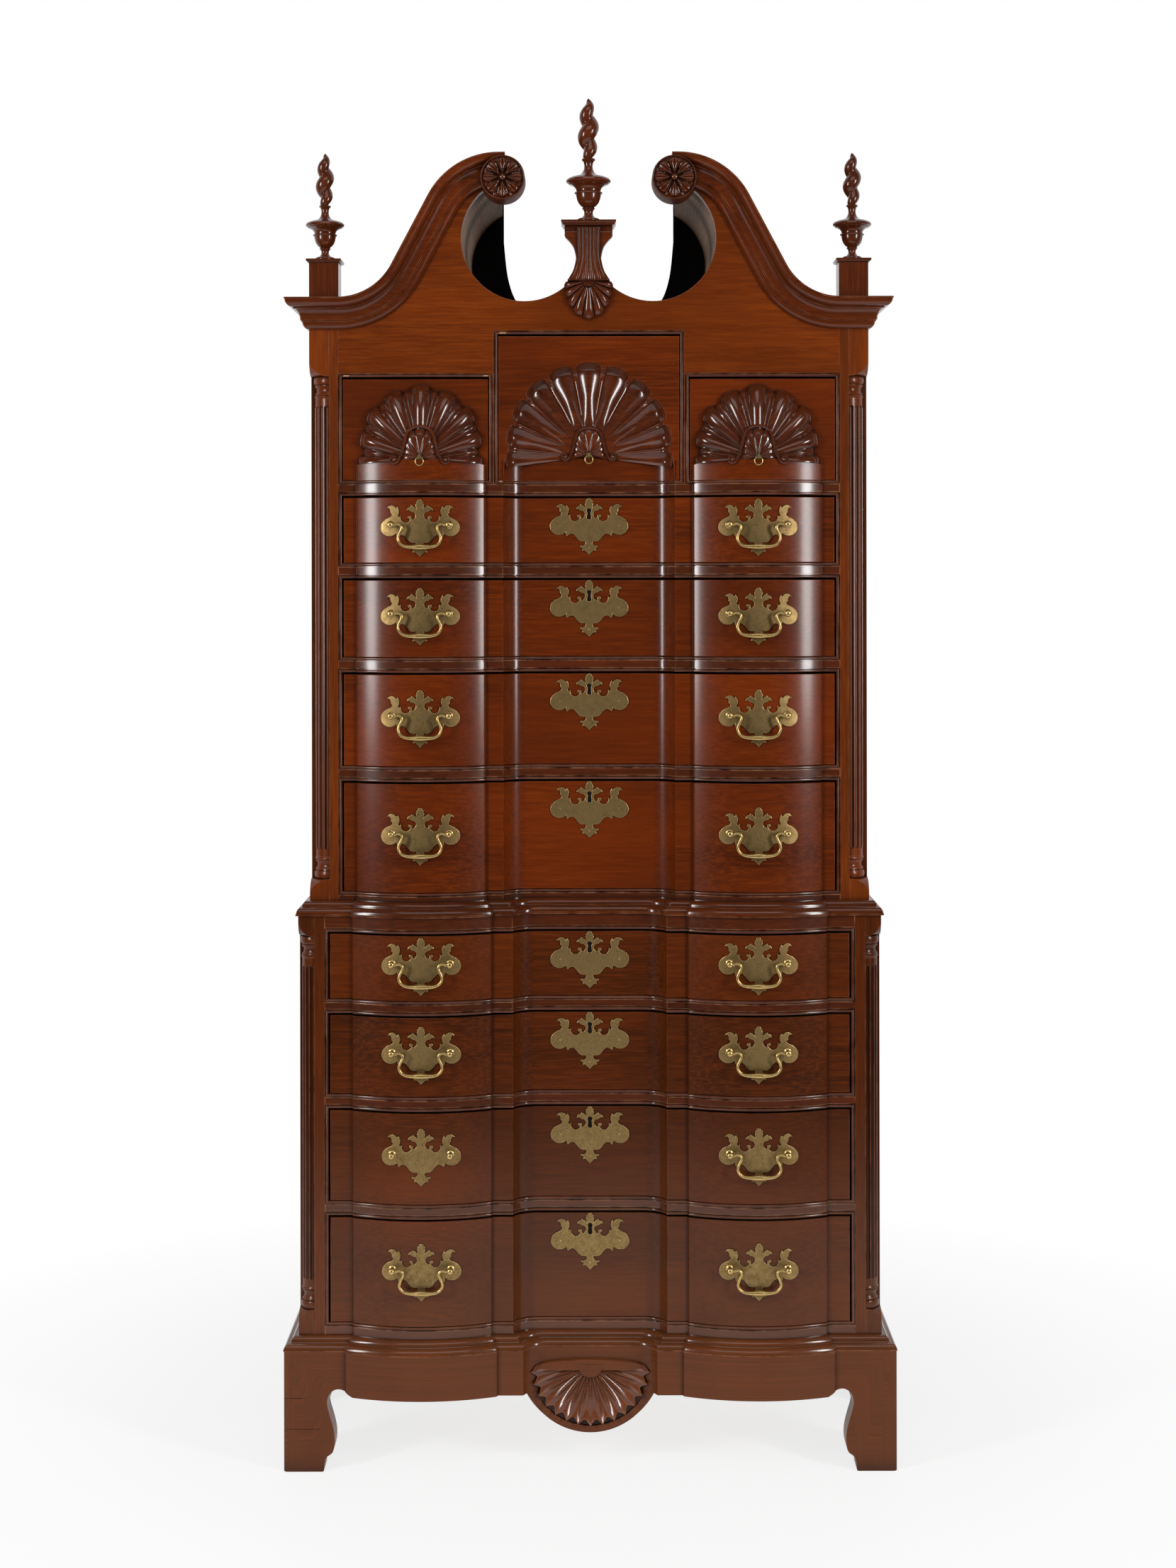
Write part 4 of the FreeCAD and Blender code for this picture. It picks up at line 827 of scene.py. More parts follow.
def quarter_column(column):
    plan, radius, setback, low, high = column
    cx, cy = plan.half - setback - radius, plan.front + setback + radius
    turns = steps(0, 1, 64)

    def ring(z, reach):
        return [(cx, cy, z)] + [(cx + reach(t, z) * math.cos(t * math.pi / 2),
                                 cy - reach(t, z) * math.sin(t * math.pi / 2), z) for t in turns]

    flute_low = low + RINGS_HIGH + FLUTE_MARGIN
    flute_high = high - RINGS_HIGH - FLUTE_MARGIN
    rounding = [0.45 * i for i in range(9)]
    levels = ([low + RINGS_HIGH] + [flute_low + rise for rise in rounding]
              + [flute_high - drop for drop in reversed(rounding)] + [high - RINGS_HIGH])
    shaft = [ring(z, lambda t, z: shaft_radius(t, z, flute_low, flute_high, radius))
             for z in levels]
    foot = [ring(low + h, lambda t, z: radius + r) for h, r in RING_PROFILE]
    head = [ring(high - h, lambda t, z: radius + r) for h, r in RING_PROFILE]
    shape = join(skin(shaft), skin(foot), skin(head))
    # Painted shade: darkness laid into the flute bottoms by depth.
    shade = []
    for x, y, z in shape[0]:
        sunk = radius - math.hypot(x - cx, y - cy)
        inside = flute_low < z < flute_high and 0.2 < sunk < radius / 2
        shade.append(min(sunk / 3.0, 0.7) if inside else 0.0)
    return shape, shade


for name, column, wood in (("columns_lower", LOWER_COLUMN, lower_columns),
                           ("columns_upper", UPPER_COLUMN, upper_columns)):
    shape, shade = quarter_column(column)
    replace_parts(make(name, both(shape), wood, dark=shade * 2), "quarter_columns")
print("quarter columns: 4, with", FLUTES, "flutes each")

# %% [markdown]
# ## Mouldings that follow the blocks
# A moulding is one section moved along the front line. Here the section is a list of drops and
# reaches; each step of it is the front line of a plan between the case above and the case below,
# carried round the corners and back along the sides.

# %% Base and waist mouldings
def quarter(a, b, level_first=True):
    """A quarter round between two points of a section, level at its start or at its end."""
    points = []
    for t in steps(0, math.pi / 2, 7):
        s, c = math.sin(t), math.cos(t)
        drop, reach = (1 - c, s) if level_first else (s, 1 - c)
        points.append((a[0] + (b[0] - a[0]) * drop, a[1] + (b[1] - a[1]) * reach))
    return points


def moulding(inner, outer, step, top, members):
    def row(plan, z):
        line = front_line(plan)
        return ([(-plan.half, BACK, z)] + [(x, y, z) for x, y in line]
                + [(plan.half, BACK, z)])
    rows = [row(inner, top)]
    rows += [row(between(inner, outer, out / step), top - drop) for drop, out in members]
    rows.append(row(inner, top - members[-1][0]))
    return skin([[r[i] for r in rows] for i in range(len(rows[0]))])


BASE_MOULDING = corners("base_moulding")[1].z - corners("base_moulding")[0].z
base_members = (quarter((0, 2), (10, 12.0)) + [(10.2, 13.6)]
                + quarter((11.0, 14.2), (BASE_MOULDING, BASE_STEP + 0.5)))
base_shape = moulding(LOWER, BASE, BASE_STEP, corners("base_moulding")[1].z, base_members)
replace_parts(make("base_mould", base_shape, mould_wood), "base_moulding")
WAIST_HIGH = UPPER_Z - LOWER_TOP
SET_BACK = UPPER.front - LOWER.front
waist_members = (quarter((0, 4), (9.5, 12.5)) + [(9.8, 13.8)]
                 + quarter((10.5, 14), (WAIST_HIGH - 3.5, SET_BACK + 3.6))
                 + [(WAIST_HIGH - 3.4, SET_BACK + 4.5), (WAIST_HIGH, SET_BACK + 4.5)])
waist_shape = moulding(UPPER, LOWER, SET_BACK, UPPER_Z, waist_members)
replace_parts(make("waist_mould", waist_shape, mould_wood), "waist_moulding")
print("mouldings:", round(BASE_MOULDING, 1), "and", round(WAIST_HIGH, 1), "mm high")

# %% [markdown]
# ## Base
# The front board of the base is blocked in plan and sawn to an outline in front: two bracket feet
# with an S-shaped inner edge, a straight apron and a round plate in the middle. Plan and outline
# are two prisms, and a Boolean keeps what both hold.

# %% Base boards
FOOT_WIDE, APRON_LOW = 68.0, 132.0
PENDANT_R, PENDANT_DROP = 120.0, 151.0
BASE_HEIGHT = base_high.z
PENDANT_Z = PENDANT_R + BASE_HEIGHT - PENDANT_DROP
BRACKET_FOOT, BRACKET_THICK, BRACKET_BEND = 96.0, 40.0, 55.0
FOOT_LINE = [(0, 0), (2.2, 2), (3.2, 9), (3.8, 16), (7, 25), (17, 33), (20.5, 45), (21.2, 58),
             (19.5, 72), (15, 90), (10.5, 105), (8.2, 118), (9.6, 129), (14, 137), (22, 142.4),
             (31, 143), (40, 139.5), (46, 135.5), (53, APRON_LOW)]


def prism_y(outline, y0, y1):
    return skin([[(x, y0, z) for x, z in outline], [(x, y1, z) for x, z in outline]])


def intersect(piece, shape):
    """Keep what a piece and a shape share, with a Boolean that is applied at once."""
    tool = bpy.data.objects.new("tool", mesh_of("tool", shape))
    scene.collection.objects.link(tool)
    change = piece.modifiers.new("cut", "BOOLEAN")
    change.object, change.operation, change.solver = tool, "INTERSECT", "EXACT"
    graph = bpy.context.evaluated_depsgraph_get()
    mesh = bpy.data.meshes.new_from_object(piece.evaluated_get(graph))
    piece.modifiers.clear()
    piece.data = mesh
    bpy.data.objects.remove(tool)
    shade_edges(mesh)


print("base:", round(BASE_HEIGHT, 1), "mm high")

# %% Front board of the base
def base_outline():
    """Outline of the front board: foot, apron, round plate, and the other foot."""
    reach = BASE.half - FOOT_WIDE
    foot = [(-(reach - dx), z) for dx, z in smooth(FOOT_LINE, 4)]
    start = math.degrees(math.asin((PENDANT_Z - APRON_LOW) / PENDANT_R))
    plate = arc(0, PENDANT_Z, PENDANT_R, 180 + start, 360 - start, 64)
    edge = BASE.half - 0.01
    left = [(-edge, BASE_HEIGHT), (-edge, 0)] + foot
    right = [(-x, z) for x, z in reversed(left)]
    return left + plate + right


def rounded_front(plan, radius, z0, z1, back):
    """Blocked board whose outer corners are rounded."""
    line = front_line(plan, -plan.half + radius, plan.half - radius)
    turn = arc(plan.half - radius, plan.front + radius, radius, -90, 0, 6)
    line = [(-x, y) for x, y in reversed(turn)] + line[1:-1] + turn
    line = [(-plan.half, back)] + line + [(plan.half, back)]
    return skin([[(x, y, z0) for x, y in line], [(x, y, z1) for x, y in line]])


BASE_BACK = BASE.front + FRONT_THICK
board = make("base_board", rounded_front(BASE, 7.0, 0.0, BASE_HEIGHT, BASE_BACK), base_wood)
intersect(board, prism_y(base_outline(), BASE.front - 60, BASE_BACK + 15))
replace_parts(board, "base_front")
print("base board:", len(board.data.polygons), "faces")

# %% [markdown]
# ### Side and rear brackets
# The feet at the sides repeat the outline of the front ones. At the back a plain board with a
# quarter-round cut ties each side bracket to the case.

# %% Brackets
def side_bracket():
    """One side board of the base, with a foot at each end, grain along the case."""
    foot = smooth(FOOT_LINE, 3)
    ahead = [(BASE.front + BRACKET_FOOT + dx, z) for dx, z in foot]
    behind = [(BACK - BRACKET_FOOT - dx, z) for dx, z in reversed(foot)]
    outline = ([(BASE_BACK + 0.3, BASE_HEIGHT), (BASE_BACK + 0.3, 0)] + ahead + behind
               + [(BACK, 0), (BACK, BASE_HEIGHT)])
    return skin([[(x, y, z) for y, z in outline] for x in (BASE.half - BRACKET_THICK, BASE.half)])


def rear_bracket():
    inner, bend = BASE.half - BRACKET_THICK - 0.3, BRACKET_BEND
    cut = arc(inner - 2 * bend, APRON_LOW - bend, bend, 0, 90, 12)
    outline = [(inner, 0), (inner, BASE_HEIGHT), (inner - 2 * bend, BASE_HEIGHT)]
    outline += [(x, z) for x, z in reversed(cut)] + [(inner - bend, 0)]
    return prism_y(outline, BACK - SIDE_THICK, BACK)


brackets = join(both(side_bracket()), both(rear_bracket()))
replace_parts(make("base_side_boards", brackets, base_wood), "base_sides")
print("brackets: 2 at the sides, 2 at the rear")

# %% [markdown]
# ## Carved fans
# Every shell here is a fan: lobes spread from a centre, and the relief of each lobe grows towards
# its end. A fan is a height field on rays: for each angle the rim radius is known, and for each
# share of the way to it the surface height. The same rays also tell where the carver's gouge left
# a deep groove, and the `dark` value paints shade into it.

# %% A fan of rays
def fan(angles, shares, rim, height, shade, place):
    """Skin over rays; rim(a) is the radius, height(a, s) the rise, shade(a, s) the painted shade.
    """
    rings, dark = [], []
    for a in angles:
        t = math.radians(a)
        ring = []
        for s in shares:
            r = rim(a) * s
            ring.append((place[0] + r * math.cos(t), place[1] - height(a, s),
                         place[2] + r * math.sin(t)))
            dark.append(shade(a, s))
        rings.append(ring)
    return skin(rings, caps=False, closed=False), dark


def phase(angle, pitch, middle=90.0):
    """0 at the middle of the nearest lobe, 0.5 half way to the next one."""
    k = (angle - middle) / pitch
    return abs(k - round(k))


def turned(cx, cz, y, profile, angles, caps=False):
    """A turning that points at the room: profile is (radius, distance out)."""
    turns = [math.radians(a) for a in angles]
    return skin([[(cx + r * math.cos(t), y - h, cz + r * math.sin(t)) for t in turns]
                 for r, h in profile], caps=caps)


def around(count):
    return steps(0, 360, count)[:-1]


print("fan helpers ready")

# %% [markdown]
# ### Base shell
# Fifteen hollow flutes hang from a half-round boss. Their ends are scooped, with sharp points
# between, and stand over dark pockets inside a stepped rim.

# %% Base shell
PENDANT_SHELL_R, PENDANT_BOSS = 104.0, 22.0
PENDANT_PITCH = 12.0


def pendant_wave(a):
    """1 on the sharp ridge between two flutes, 0 in the middle of a flute."""
    return (phase(a, PENDANT_PITCH, 264.0) * 2) ** 1.5


def pendant_rim(a):
    return PENDANT_SHELL_R - 9.0 + 9.0 * pendant_wave(a)


def pendant_height(a, s):
    if s > 1.0:
        return 0.4
    swell = 6.0 + 1.5 * s + 7.0 * s ** 5
    return swell - 6.5 * (1 - pendant_wave(a)) * (0.25 + 0.75 * s)


def pendant_shade(a, s):
    # Painted shade: dark near the boss and in the pockets beyond the flute ends.
    groove = 0.75 * (1 - s) + (0.9 if s > 1.0 else 0.0)
    return min(groove * 0.8, 1.0)


recess_face = BASE.front + RECESS_DEPTH
shares = [PENDANT_BOSS / PENDANT_SHELL_R] + steps(0.3, 0.9, 10) + [0.95, 0.985, 1.0, 1.004, 1.03]
shell, shade = fan(steps(180, 360, 15 * 14), shares, pendant_rim, pendant_height, pendant_shade,
                   (0.0, recess_face, PENDANT_Z))
pendant = make("base_shell", shell, base_carving, dark=shade)
boss = [(PENDANT_BOSS, 0), (PENDANT_BOSS, 8.0), (PENDANT_BOSS - 1.0, 9.0), (0.01, 9.6)]
make("base_boss", turned(0.0, PENDANT_Z, recess_face, boss, steps(180, 360, 40)), base_wood)
print("base shell:", len(pendant.data.polygons), "faces")

# %% Rim of the base shell
def half_hoop(inner, outer, rise):
    """A flat stepped rim round the lower half of the shell."""
    section = [(inner, 0), (inner, rise), (inner + 0.8, rise + 0.8), (outer - 3.0, rise + 0.8),
               (outer - 2.2, rise - 0.6), (outer, rise - 1.2), (outer, 0)]
    return skin([[(r * math.cos(t), recess_face - h, PENDANT_Z + r * math.sin(t))
                  for r, h in section] for t in map(math.radians, steps(180, 360, 96))])


make("base_shell_rim", half_hoop(PENDANT_SHELL_R + 3.0, PENDANT_R - 0.4, 3.2), base_wood)
top_arch = smooth([(-PENDANT_SHELL_R - 4, -6), (-70, 5.5), (0, 9.5), (70, 5.5),
                   (PENDANT_SHELL_R + 4, -6)], 10)
arch = skin([[(x, recess_face - h, PENDANT_Z + z + dz) for dz, h in
              ((-9 - z, 0), (-9 - z, 8.5), (-1.2, 7.5), (0, 5.8), (1.4, 2.0), (1.8, 0))]
             for x, z in top_arch])
make("base_shell_top", arch, base_wood)
print("rim:", round(PENDANT_R - PENDANT_SHELL_R - 3.4, 1), "mm wide")

# %% [markdown]
# ## Scroll board
# The pediment board is one flat piece with a curved top and two large round holes. A 2D curve
# with holes, thickened and bevelled, gives such a board with clean eased edges.

# %% Flat boards from outlines
def sawn(name, outlines, y0, y1, material, body="case", ease=0.6):
    """Board sawn to closed outlines of (x, z); outlines inside the first are holes."""
    curve = bpy.data.curves.new(name, "CURVE")
    curve.dimensions, curve.fill_mode = "2D", "BOTH"
    for outline in outlines:
        spline = curve.splines.new("POLY")
        spline.points.add(len(outline) - 1)
        for point, (x, z) in zip(spline.points, outline):
            point.co = (x * MM, z * MM, 0, 1)
        spline.use_cyclic_u = True
    curve.extrude = (abs(y1 - y0) / 2 - ease) * MM
    curve.bevel_depth = ease * MM
    curve.bevel_resolution = 1
    curve.offset = -ease * MM
    flat = bpy.data.objects.new(name + "_curve", curve)
    mesh = bpy.data.meshes.new_from_object(flat)
    bpy.data.objects.remove(flat)
    middle = (y0 + y1) / 2 * MM
    for vertex in mesh.vertices:
        x, z, depth = vertex.co
        vertex.co = (x, middle - depth, z)
    shade = mesh.attributes.new("dark", "FLOAT", "POINT")
    shade.data.foreach_set("value", [0.0] * len(mesh.vertices))
    mesh.materials.clear()
    mesh.name = name
    return settle(bpy.data.objects.new(name, mesh), material, body)


print("sawn boards are ready")

# %% Line of the swan necks
CREST_X, CREST_R = UPPER.half * 0.3184, UPPER.half * 0.2848
NECK_FOOT_R, NECK_RISE, NECK_STEPS = UPPER.half * 0.2157, 252.0, 16
CREST = CORNICE_TOP + NECK_RISE
ROSETTE_X, ROSETTE_R = UPPER.half * 0.3046, 38.7
ROSETTE_Z = CREST - 45.0
HOLE_X = UPPER.half * 0.2299
HOLE_R = HOLE_X - 2.0
HOLE_Z = CORNICE_TOP - 4.0 + HOLE_R
CORNER_PLINTH, SCROLL_THICK = 51.7, 22.0


def neck_stations():
    """Stations (x, z, angle) up the left swan neck, from the foot of the curve to the crest."""
    foot = Vector((-(UPPER.half - CORNER_PLINTH - 1.5), CORNICE_TOP + NECK_FOOT_R))
    crest = Vector((-CREST_X, CREST - CREST_R))
    apart, radii = crest - foot, NECK_FOOT_R + CREST_R
    slope = (math.atan2(apart.y, apart.x)
             + math.atan2(radii, math.sqrt(apart.length_squared - radii ** 2)))
    turns = steps(0, slope, NECK_STEPS)
    low = [(foot.x + NECK_FOOT_R * math.sin(t), foot.y - NECK_FOOT_R * math.cos(t), t)
           for t in turns]
    high = [(crest.x - CREST_R * math.sin(t), crest.y + CREST_R * math.cos(t), t)
            for t in reversed(turns)]
    return low + high


def neck_line(inside=0.0):
    return [(x + inside * math.sin(t), z - inside * math.cos(t)) for x, z, t in neck_stations()]


print("crest:", round(CREST), "mm above the floor")

# %% Scroll board
frame_top_side = shell_open["left"][3] + FRAME_WIDE
frame_top_centre = shell_open["centre"][3] + FRAME_WIDE
frame_x_centre = shell_open["centre"][1] + FRAME_WIDE
edge_x = upper_open[0][1] + FRAME_WIDE
left_edge = ([(-frame_x_centre, frame_top_centre), (-frame_x_centre, frame_top_side),
              (-edge_x, frame_top_side), (-edge_x, CORNICE_TOP)]
             + [p for p in neck_line() if p[0] > -edge_x + 1] + [(-ROSETTE_X, CREST)])
open_start = math.degrees(math.acos((ROSETTE_X - HOLE_X) / HOLE_R))
stem = 20.0
stem_turn = math.degrees(math.acos((HOLE_X - stem) / HOLE_R))
bite = arc(-HOLE_X, HOLE_Z, HOLE_R, 180 - open_start, 360 - stem_turn, 110)
PLINTH_TOP = corners("centre_plinth")[1].z
left_edge += bite + [(-stem, PLINTH_TOP - 9.0)]
scroll = sawn("scroll_board", [mirrored_line(left_edge)], UPPER.front,
              UPPER.front + SCROLL_THICK, upper_wood)
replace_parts(scroll, "tympanum")
print("scroll board:", len(scroll.data.vertices), "points")

# %% [markdown]
# ## Swan necks
# The cornice moulding sweeps up each side. Its section stays square to the upper edge all the
# way, so the stations carry the angle of the curve with them. At the corner it mitres with a
# straight length that runs back along the side.

# %% Cornice
CORNICE_OUT, CORNICE_WIDE = 40.0, 53.5
cornice_members = ([(0, 0), (0, CORNICE_OUT - 0.6), (0.6, CORNICE_OUT), (3, CORNICE_OUT),
                    (3.2, 38.6)] + quarter((3.6, 38.6), (16, 27), level_first=False)
                   + [(16.2, 25.4), (19, 25.2)] + quarter((19.2, 24.2), (38.5, 14))
                   + [(38.7, 12.4), (41.3, 12)]
                   + quarter((41.5, 10.6), (CORNICE_WIDE, 0), level_first=False))


def neck_section(x, z, angle, skew):
    return [(x + drop * math.sin(angle) - skew * out, UPPER.front - out,
             z - drop * math.cos(angle)) for drop, out in cornice_members]


stations = [(-UPPER.half, CORNICE_TOP, 0.0)] + neck_stations() + [(-ROSETTE_X + 4, CREST, 0.0)]
front_length = [neck_section(x, z, t, float(i == 0)) for i, (x, z, t) in enumerate(stations)]
side_length = [front_length[0], [(-UPPER.half - out, BACK, CORNICE_TOP - drop)
                                 for drop, out in cornice_members]]
cornice = join(both(skin(front_length)), both(skin(side_length)))
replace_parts(make("cornice_mould", cornice, neck_wood, weld=False), "cornice")
print("cornice stations:", len(stations))

# %% [markdown]
# ## Rosettes
# Each neck ends in a drum with a carved flower: eight petals of two veined lobes, and eight
# pointed leaves behind them. The flower is another fan, closed into a full circle.

# %% Rosettes
PETAL_PITCH, ROSETTE_OUT = 45.0, 42.0


def petal_edge(s):
    """Half width of a petal, as a share of its eighth, at a share of the radius."""
    if not 0.13 < s < 0.92:
        return 0.0
    return 0.46 * math.sin(math.pi * ((s - 0.12) / 0.8) ** 1.5) ** 0.6


def rosette_height(a, s):
    w, edge = phase(a, PETAL_PITCH, 0.0), petal_edge(s)
    if w < edge:
        across = w / edge
        rise = 2.2 + 5.4 * math.sin(min(s / 0.87, 1.0) * math.pi * 0.72)
        lobe = abs(math.sin(across * math.pi * 1.5)) ** 0.6 if s > 0.34 else 1 - across ** 2
        return rise * (0.66 + 0.34 * lobe)
    leaf = max((0.97 - s) * 1.1 - (0.5 - w), 0.0) if s > 0.5 else 0.0
    return 0.8 + min(leaf * 12, 1.0) * 2.6


def rosette_shade(a, s):
    # Painted shade along the petal edges and over the ground between the petals.
    w, edge = phase(a, PETAL_PITCH, 0.0), petal_edge(s)
    near = abs(w - edge) * math.radians(PETAL_PITCH) * s * ROSETTE_R
    return 0.8 if near < 0.8 else (0.35 if w > edge else 0.0)


def rosette(cx):
    """Flower, its darkness, and the drum that carries it."""
    y = UPPER.front - ROSETTE_OUT
    flower, dark = fan(steps(0, 360, 192), steps(0.13, 0.97, 26), lambda a: ROSETTE_R - 1.4,
                       rosette_height, rosette_shade, (cx, y + 1.0, ROSETTE_Z))
    back = -ROSETTE_OUT - SCROLL_THICK
    profile = [(ROSETTE_R - 2.6, 2.6), (ROSETTE_R - 1.2, 3.2), (ROSETTE_R - 0.3, 2.4),
               (ROSETTE_R, 0.8), (ROSETTE_R, back), (ROSETTE_R - 1, back - 0.5)]
    knob = turned(cx, ROSETTE_Z, y, [(5.2, 0), (5.4, 6.0), (4.6, 8.6), (2.6, 10.0), (0.05, 10.5)],
                  around(24))
    drum = turned(cx, ROSETTE_Z, y, profile, around(96))
    return join(flower, knob), dark + [0.0] * len(knob[0]), drum


left, right = rosette(-ROSETTE_X), rosette(ROSETTE_X)
flowers = make("rosette_flowers", join(left[0], right[0]), carved_wood, dark=left[1] + right[1],
               weld=False)
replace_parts(flowers, "rosettes")
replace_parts(make("rosette_drums", join(left[2], right[2]), drum_wood), "rosettes")
print("rosettes:", len(flowers.data.polygons), "faces")

# %% [markdown]
# ## Inside the bonnet
# Behind the scroll board thin boards follow the curves: a roof over each neck, a round lining in
# each hole, and a back board with a U-shaped opening that lets the light through.

# %% Bonnet boards
ROOF_THICK, LINING_THICK, BACK_THICK = 8.0, 6.0, 12.0
BACK_END = ROSETTE_X + 16.6
board_back = UPPER.front + SCROLL_THICK
back_in = BACK - BACK_THICK
roof_line = [(-UPPER.half, CORNICE_TOP)] + neck_line() + [(-ROSETTE_X, CREST)]
roof_under = ([(-UPPER.half, CORNICE_TOP - ROOF_THICK)] + neck_line(ROOF_THICK)
              + [(-ROSETTE_X, CREST - ROOF_THICK)])
roof = prism_y(roof_line + list(reversed(roof_under)), board_back, BACK)


def lining_ring(y, end_x):
    """Section of the round lining at one depth, ending upright under the scroll."""
    turn = 180 - math.degrees(math.acos((end_x - HOLE_X) / (HOLE_R + LINING_THICK)))
    outer = arc(-HOLE_X, HOLE_Z, HOLE_R + LINING_THICK, turn, 270, 60)
    inner = arc(-HOLE_X, HOLE_Z, HOLE_R, turn + 1, 270, 60)
    return [(x, y, z) for x, z in inner + list(reversed(outer))]


def scroll_ring(y, end_x):
    low = HOLE_Z + math.sqrt((HOLE_R + LINING_THICK) ** 2 - (end_x - HOLE_X) ** 2)
    high = CREST - ROOF_THICK
    return [(-end_x - 6, y, low), (-end_x, y, low), (-end_x, y, high), (-end_x - 6, y, high)]


lining = skin([lining_ring(board_back, ROSETTE_X), lining_ring(back_in, BACK_END)])
scroll_end = skin([scroll_ring(board_back + 45, ROSETTE_X + 1.9),
                   scroll_ring(back_in, BACK_END)])
floor_board = box(-HOLE_X, HOLE_X, board_back, back_in, HOLE_Z - HOLE_R - LINING_THICK,
                  HOLE_Z - HOLE_R, 0.3)
make("bonnet_roof", both(roof), side_wood)
linings = make("bonnet_linings", join(both(lining), both(scroll_end)), lining_wood)
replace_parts(linings, "bonnet_boards")
# The floor board between the holes is black: painted shade inside the bonnet.
make("bonnet_floor", floor_board, dark_and_shade_wood)
print("lined holes:", round(2 * HOLE_R), "mm across")

# %% Back board with its opening
upper_edge = UPPER.half - SIDE_THICK
opening_x = ROSETTE_X + 13.3
back_bend = smooth([(-opening_x, HOLE_Z + 48), (-ROSETTE_X - 5.5, HOLE_Z - 20),
                    (-ROSETTE_X + 12, HOLE_Z - 68), (-HOLE_X + 8, HOLE_Z - HOLE_R + 14),
                    (-HOLE_X + 43, HOLE_Z - HOLE_R)], 8)
half_back = ([(-upper_edge, upper_low.z), (-upper_edge, CORNICE_TOP - ROOF_THICK)]
             + neck_line(ROOF_THICK) + [(-opening_x, CREST - ROOF_THICK - 0.3)] + back_bend)
back_board = sawn("upper_back_board", [mirrored_line(half_back)], back_in, BACK, bonnet_back,
                  ease=0.4)
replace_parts(back_board, "upper_back")
print("opening at the back:", round(2 * opening_x), "mm wide at the top")

# %% [markdown]
# ## Centre plinth
# A waisted block carries the middle finial. Its face has reeds with hollows between, a narrow
# band, and a small shell of nine lobes that hangs over the scroll board.

# %% Centre plinth
PLINTH_OUT, PANEL_OUT = 30.0, 2.6
plinth_z = CORNICE_TOP + 30.0
head_z = PLINTH_TOP - 20.0
half_line = smooth([(42, head_z + 1), (41.4, head_z - 7), (34, head_z - 15), (26.5, head_z - 26),
                    (22.6, head_z - 42), (23.0, head_z - 52), (27.0, plinth_z + 17),
                    (32.0, plinth_z + 8), (37.0, plinth_z)], 5)
head_front = UPPER.front - PLINTH_OUT
body_front = head_front + 5.0
plinth_body = sawn("plinth_body", [mirrored_line(half_line)], body_front, UPPER.front,
                   carved_wood, ease=0.8)
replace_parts(plinth_body, "centre_plinth")
panel_top = head_z + 8


def panel_half(z):
    """Half width of the reeded panel: narrow at the waist, wide at the foot."""
    t = (z - plinth_z) / (panel_top - plinth_z)
    return 20.6 + 13.5 * max(1 - t / 0.55, 0) ** 2.2 - 1.2 * math.sin(min(t, 1.0) * math.pi)


def reed(u):
    """Rise across the panel: seven narrow reeds with hollows between, flat at its edges."""
    if abs(u) > 0.995:
        return 0.0
    w = abs(u * 3 - round(u * 3)) * 2
    return 1.9 - 2.9 * math.sin(min(w * 1.25, 1.0) * math.pi / 2) ** 1.6


rows = []
for z in steps(plinth_z + 1.5, panel_top, 30):
    half, root = panel_half(z), body_front + 0.2
    face = [(u * half, body_front - PANEL_OUT - reed(u), z) for u in steps(-1, 1, 96)]
    rows.append([(-half, root, z)] + face + [(half, root, z)])
make("plinth_panel", skin(rows, caps=False, closed=False), carved_wood)
print("panel:", len(rows), "rows")

# %% Head of the plinth
head = box(-42, 42, head_front + 6, UPPER.front, head_z - 0.5, head_z + 11, 0.8)
cap_rows = [(44.5, 3.5, -9), (45.5, 2.5, -8.2), (46.0, 2.0, -5.2), (47.2, 0.8, -4.6), (48, 0, -3.6),
            (48, 0, -0.8), (47.4, 0.6, 0)]
cap_y0, cap_y1 = head_front - 8, UPPER.front + 26.0
cap = skin([[(-x, cap_y0 + d, PLINTH_TOP + h), (x, cap_y0 + d, PLINTH_TOP + h),
             (x, cap_y1 - d, PLINTH_TOP + h), (-x, cap_y1 - d, PLINTH_TOP + h)]
            for x, d, h in cap_rows])
band = box(-36.5, 36.5, body_front - 4.6, body_front + 2, plinth_z - 1.0, plinth_z + 2.2, 0.9)
make("plinth_head", join(head, cap, band), turned_wood)
print("plinth head:", 2 * cap_rows[4][0], "mm wide")

# %% Shell of the plinth
PLINTH_PITCH, PLINTH_SHELL_WIDE, PLINTH_SHELL_DROP = 20.0, 42.0, 65.5


def plinth_phase(a):
    return phase(a, PLINTH_PITCH, 270.0)


def plinth_rim(a):
    """An upright half ellipse with a small wave for the lobes."""
    t = math.radians(a)
    across, down = math.cos(t) / PLINTH_SHELL_WIDE, math.sin(t) / PLINTH_SHELL_DROP
    return 1.0 / math.hypot(across, down) + 1.5 * math.cos(plinth_phase(a) * 2 * math.pi)


def plinth_height(a, s):
    if s > 0.999:
        return 0.0
    w = plinth_phase(a) * 2
    lobe = math.sqrt(max(1 - w * w, 0.0))
    dome = 5.0 + 13.0 * math.sqrt(max(1 - s ** 3.4, 0.0))
    return dome - 5.5 * (1 - lobe) * min(s * 1.5, 1.0)


def plinth_shade(a, s):
    # Painted shade in the grooves between lobes and near the root.
    return 0.8 if plinth_phase(a) > 0.44 else (0.5 if s < 0.28 else 0.0)


